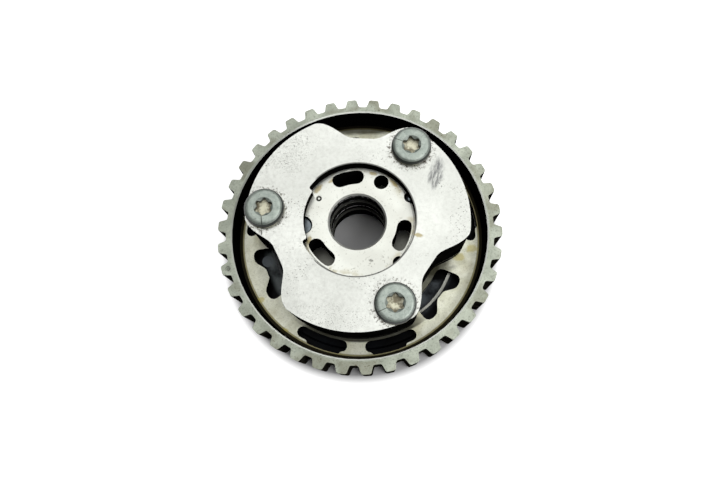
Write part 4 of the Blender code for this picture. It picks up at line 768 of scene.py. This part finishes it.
def make_phosphated_sheet():
    """Black phosphated sheet with a painted blue-grey sheen near the axis, a painted highlight in its dish
    and a painted shadow below the right window.
    """
    made, tree, shader, at = start_material("oiled_phosphated_sheet", 0.0, 0.3)
    patch = ramp(tree, grain(tree, at["place"], 6.0 * MM, 3.0), 0.3, 0.7)
    tone = layer_colour(tree, linear_colour("#040405"), linear_colour("#0B0E12"), patch)
    on_top = past(tree, combine(tree, "SUBTRACT", at["height"], sheet_top), (-0.7, -0.6))
    # Painted reflection: a blue-grey sheen on the upper side near the axis, lighter on the left.
    smear_and_sheen = ramp(tree, grain(tree, at["place"], 4.0 * MM, 3.0, seed=3.0), 0.25, 0.65)
    smear_and_sheen = overlap(tree, smear_and_sheen, past(tree, at["radius"], SHEEN_REACH), on_top, 0.8)
    to_right = past(tree, at["across"], (-10.0, 10.0))
    sheen = layer_colour(tree, linear_colour("#98A1A2"), linear_colour("#5F6569"), to_right)
    tone = layer_colour(tree, tone, sheen, smear_and_sheen)
    # Painted shadow below the right window.
    shade = blot(tree, at, (30.0, -14.0), (12.0, 7.0), 0.0, 8.0)
    tone = paint(tree, tone, "#020202", overlap(tree, shade, on_top))
    # Painted highlight in the dish beside the left window.
    dish = past(tree, distance_from(tree, at, DISH_PLACE), DISH_ENDS)
    tone = paint(tree, tone, "#8E969C", overlap(tree, dish, on_top), 0.7)
    tree.links.new(tone, shader.inputs["Base Color"])
    shader.inputs["Specular IOR Level"].default_value = 0.03
    return made


wear_material(make_phosphated_sheet(), "spring_cover")

# %% [markdown]
# ## Drawn strip: the spiral spring
#
# The spring is a flat strip, drawn and tempered. Its edge is bright where the right window shows it.
# On the left it is painted near black, and its flats are painted black as shade.

# %% Drawn strip
def make_strip_steel():
    """Drawn strip: bright on its edge on the right, painted near black on the left, and painted black as
    shade on its flats.
    """
    made, tree, shader, at = start_material("drawn_strip_steel", 0.6, 0.35)
    patch = ramp(tree, grain(tree, at["place"], 3.0 * MM, 3.0), 0.3, 0.7)
    tone = layer_colour(tree, linear_colour("#7A7B74"), linear_colour("#94958D"), patch)
    # Painted near black on the left.
    tone = paint(tree, tone, "#14171A", past(tree, at["across"], (-8.0, -14.0)), 0.95)
    # Painted shade: the strip's flats black.
    tone = paint(tree, tone, "#0B0B0A", at["sideways"], 0.95)
    tree.links.new(tone, shader.inputs["Base Color"])
    return made


wear_material(make_strip_steel(), "bias_spring", "bias_spring_inner_end")

# %% [markdown]
# ## The small parts
#
# The small springs are drawn and tempered wire or strip, dark with a hard shine. The lock pin, its
# bush, the dowels and the balls are hardened and polished. The seals are black polymer. All three
# finishes are two near tones in patches, so one function makes them.

# %% Spring steel, hardened steel and seal polymer
def make_small_part_finish(name, dark, pale, metallic, roughness, patch_size):
    """A two-tone finish for small parts; the tones blend in patches of patch_size."""
    made, tree, shader, at = start_material(name, metallic, roughness)
    patch = ramp(tree, grain(tree, at["place"], patch_size, 3.0), 0.3, 0.7)
    tone = layer_colour(tree, linear_colour(dark), linear_colour(pale), patch)
    tree.links.new(tone, shader.inputs["Base Color"])
    finish_bump(tree, shader, grain(tree, at["place"], 0.4 * MM, 2.0), 0.1, 0.02 * MM)
    return made


def numbered(*names):
    """Each name with the numbers 1 to 3."""
    return [f"{name}_{number}" for name in names for number in (1, 2, 3)]


tempered = make_small_part_finish("tempered_spring_steel", "#4A4C4C", "#6B6D6B", 0.9, 0.3, 3.0 * MM)
hardened = make_small_part_finish("polished_hardened_steel", "#5C6468", "#7A8286", 0.8, 0.3, 2.0 * MM)
polymer = make_small_part_finish("black_seal_polymer", "#161514", "#242220", 0.0, 0.55, 2.0 * MM)
wear_material(tempered, "lock_pin_spring", *numbered("vane_seal_spring", "partition_seal_spring"))
wear_material(hardened, "lock_pin", "lock_pin_cap", "lock_bush", "locating_pin_1", "locating_pin_2",
              "gallery_ball_1", "gallery_ball_2")
wear_material(polymer, *numbered("vane_seal", "partition_seal"))

# %% [markdown]
# ## Floor
#
# The photograph has a white table that fades into a white ground. The floor is a large plain sheet
# under the rim. It is pale by its own colour, and where the camera or a reflection looks at it a
# light of its own brings it to white, so the lamps can stay at a level that suits the part. That
# light starts just outside the teeth, so the shadow under the part stays.

# %% The white table
bm = bmesh.new()
bmesh.ops.create_grid(bm, x_segments=1, y_segments=1, size=3.0)
floor_mesh = bpy.data.meshes.new("table")
bm.to_mesh(floor_mesh)
bm.free()
floor = bpy.data.objects.new("table", floor_mesh)
bpy.context.scene.collection.objects.link(floor)
floor.location.z = rim_low.z - 0.2 * MM

white = bpy.data.materials.new("white_table")
white.use_nodes = True
paper = white.node_tree
paper.nodes.clear()
ray = add_node(paper, "ShaderNodeLightPath", {}).outputs
looked_at = combine(paper, "MAXIMUM", ray["Is Camera Ray"], ray["Is Glossy Ray"])
looked_at = combine(paper, "MAXIMUM", looked_at, ray["Is Transmission Ray"])
spot = add_node(paper, "ShaderNodeTexCoord", {}).outputs["Object"]
from_axis = add_node(paper, "ShaderNodeVectorMath", {"operation": "LENGTH", 0: spot}).outputs["Value"]
lit = add_node(paper, "ShaderNodeMapRange", {"Value": from_axis, "From Min": 56.5 * MM,
                                             "From Max": 60.5 * MM, "To Min": 0.0, "To Max": 0.82})
glow = combine(paper, "MULTIPLY", looked_at, lit.outputs["Result"])
matt = add_node(paper, "ShaderNodeBsdfDiffuse", {"Color": linear_colour("#C8C8C8")})
light = add_node(paper, "ShaderNodeEmission", {"Color": linear_colour("#FFFFFF"), "Strength": glow})
both = add_node(paper, "ShaderNodeAddShader", {0: matt.outputs[0], 1: light.outputs[0]})
add_node(paper, "ShaderNodeOutputMaterial", {"Surface": both.outputs[0]})
floor_mesh.materials.append(white)
print("table top at", round(floor.location.z / MM, 2), "mm")

# %% [markdown]
# ## Light
#
# The photograph was lit by a large soft light above and behind the part: the faces that look up are
# bright, and the walls that look towards the camera's side are nearly black. An area lamp stands
# for the soft box, a weaker one fills from the right and the front, and the world gives a faint grey.

# %% Soft box, fill and world
def add_soft_light(name, place, target, size, power):
    """A square area lamp that looks at a target."""
    lamp = bpy.data.lights.new(name, "AREA")
    lamp.size = size
    lamp.energy = power
    made = bpy.data.objects.new(name, lamp)
    bpy.context.scene.collection.objects.link(made)
    made.location = place
    made.rotation_euler = (Vector(target) - Vector(place)).to_track_quat("-Z", "Y").to_euler()
    return made


centre = (0.0, 0.0, rim_front)
add_soft_light("soft_box", (0.11, 0.24, 0.65), centre, 0.85, 4.4)
add_soft_light("side_fill", (0.36, -0.2, 0.5), centre, 0.4, 2.3)
world = bpy.data.worlds.new("studio")
bpy.context.scene.world = world
world.use_nodes = True
sky = world.node_tree.nodes["Background"]
sky.inputs["Color"].default_value = linear_colour("#FFFFFF")
sky.inputs["Strength"].default_value = 0.05

# %% [markdown]
# ## Camera
#
# The far side of the rim is drawn noticeably smaller than the near side, so the photographer stood
# close, about 22 cm above the part and a little in front. The place and the focal length below were
# worked out from the rim, the cover and the screws, which are circles and planes of known size.

# %% The photograph's camera
CAMERA_PLACE = Vector((10.85, -63.85, 220.2)) * MM + Vector((0, 0, rim_front))
CAMERA_TARGET = Vector((0.58, -4.71, 0.0)) * MM + Vector((0, 0, rim_front))
camera_data = bpy.data.cameras.new("photographer")
camera_data.lens = 28.7
camera_data.sensor_width = 36.0
camera_data.clip_start = 0.01
camera = bpy.data.objects.new("photographer", camera_data)
bpy.context.scene.collection.objects.link(camera)
forward = (CAMERA_TARGET - CAMERA_PLACE).normalized()
right = forward.cross(Vector((0, 1, 0))).normalized()
above = right.cross(forward)
turn = Matrix((right, above, -forward)).transposed().to_4x4()
camera.matrix_world = Matrix.Translation(CAMERA_PLACE) @ turn
bpy.context.scene.camera = camera
bpy.context.scene.view_settings.view_transform = "Standard"
print("camera", [round(c / MM, 1) for c in CAMERA_PLACE], "lens", camera_data.lens)
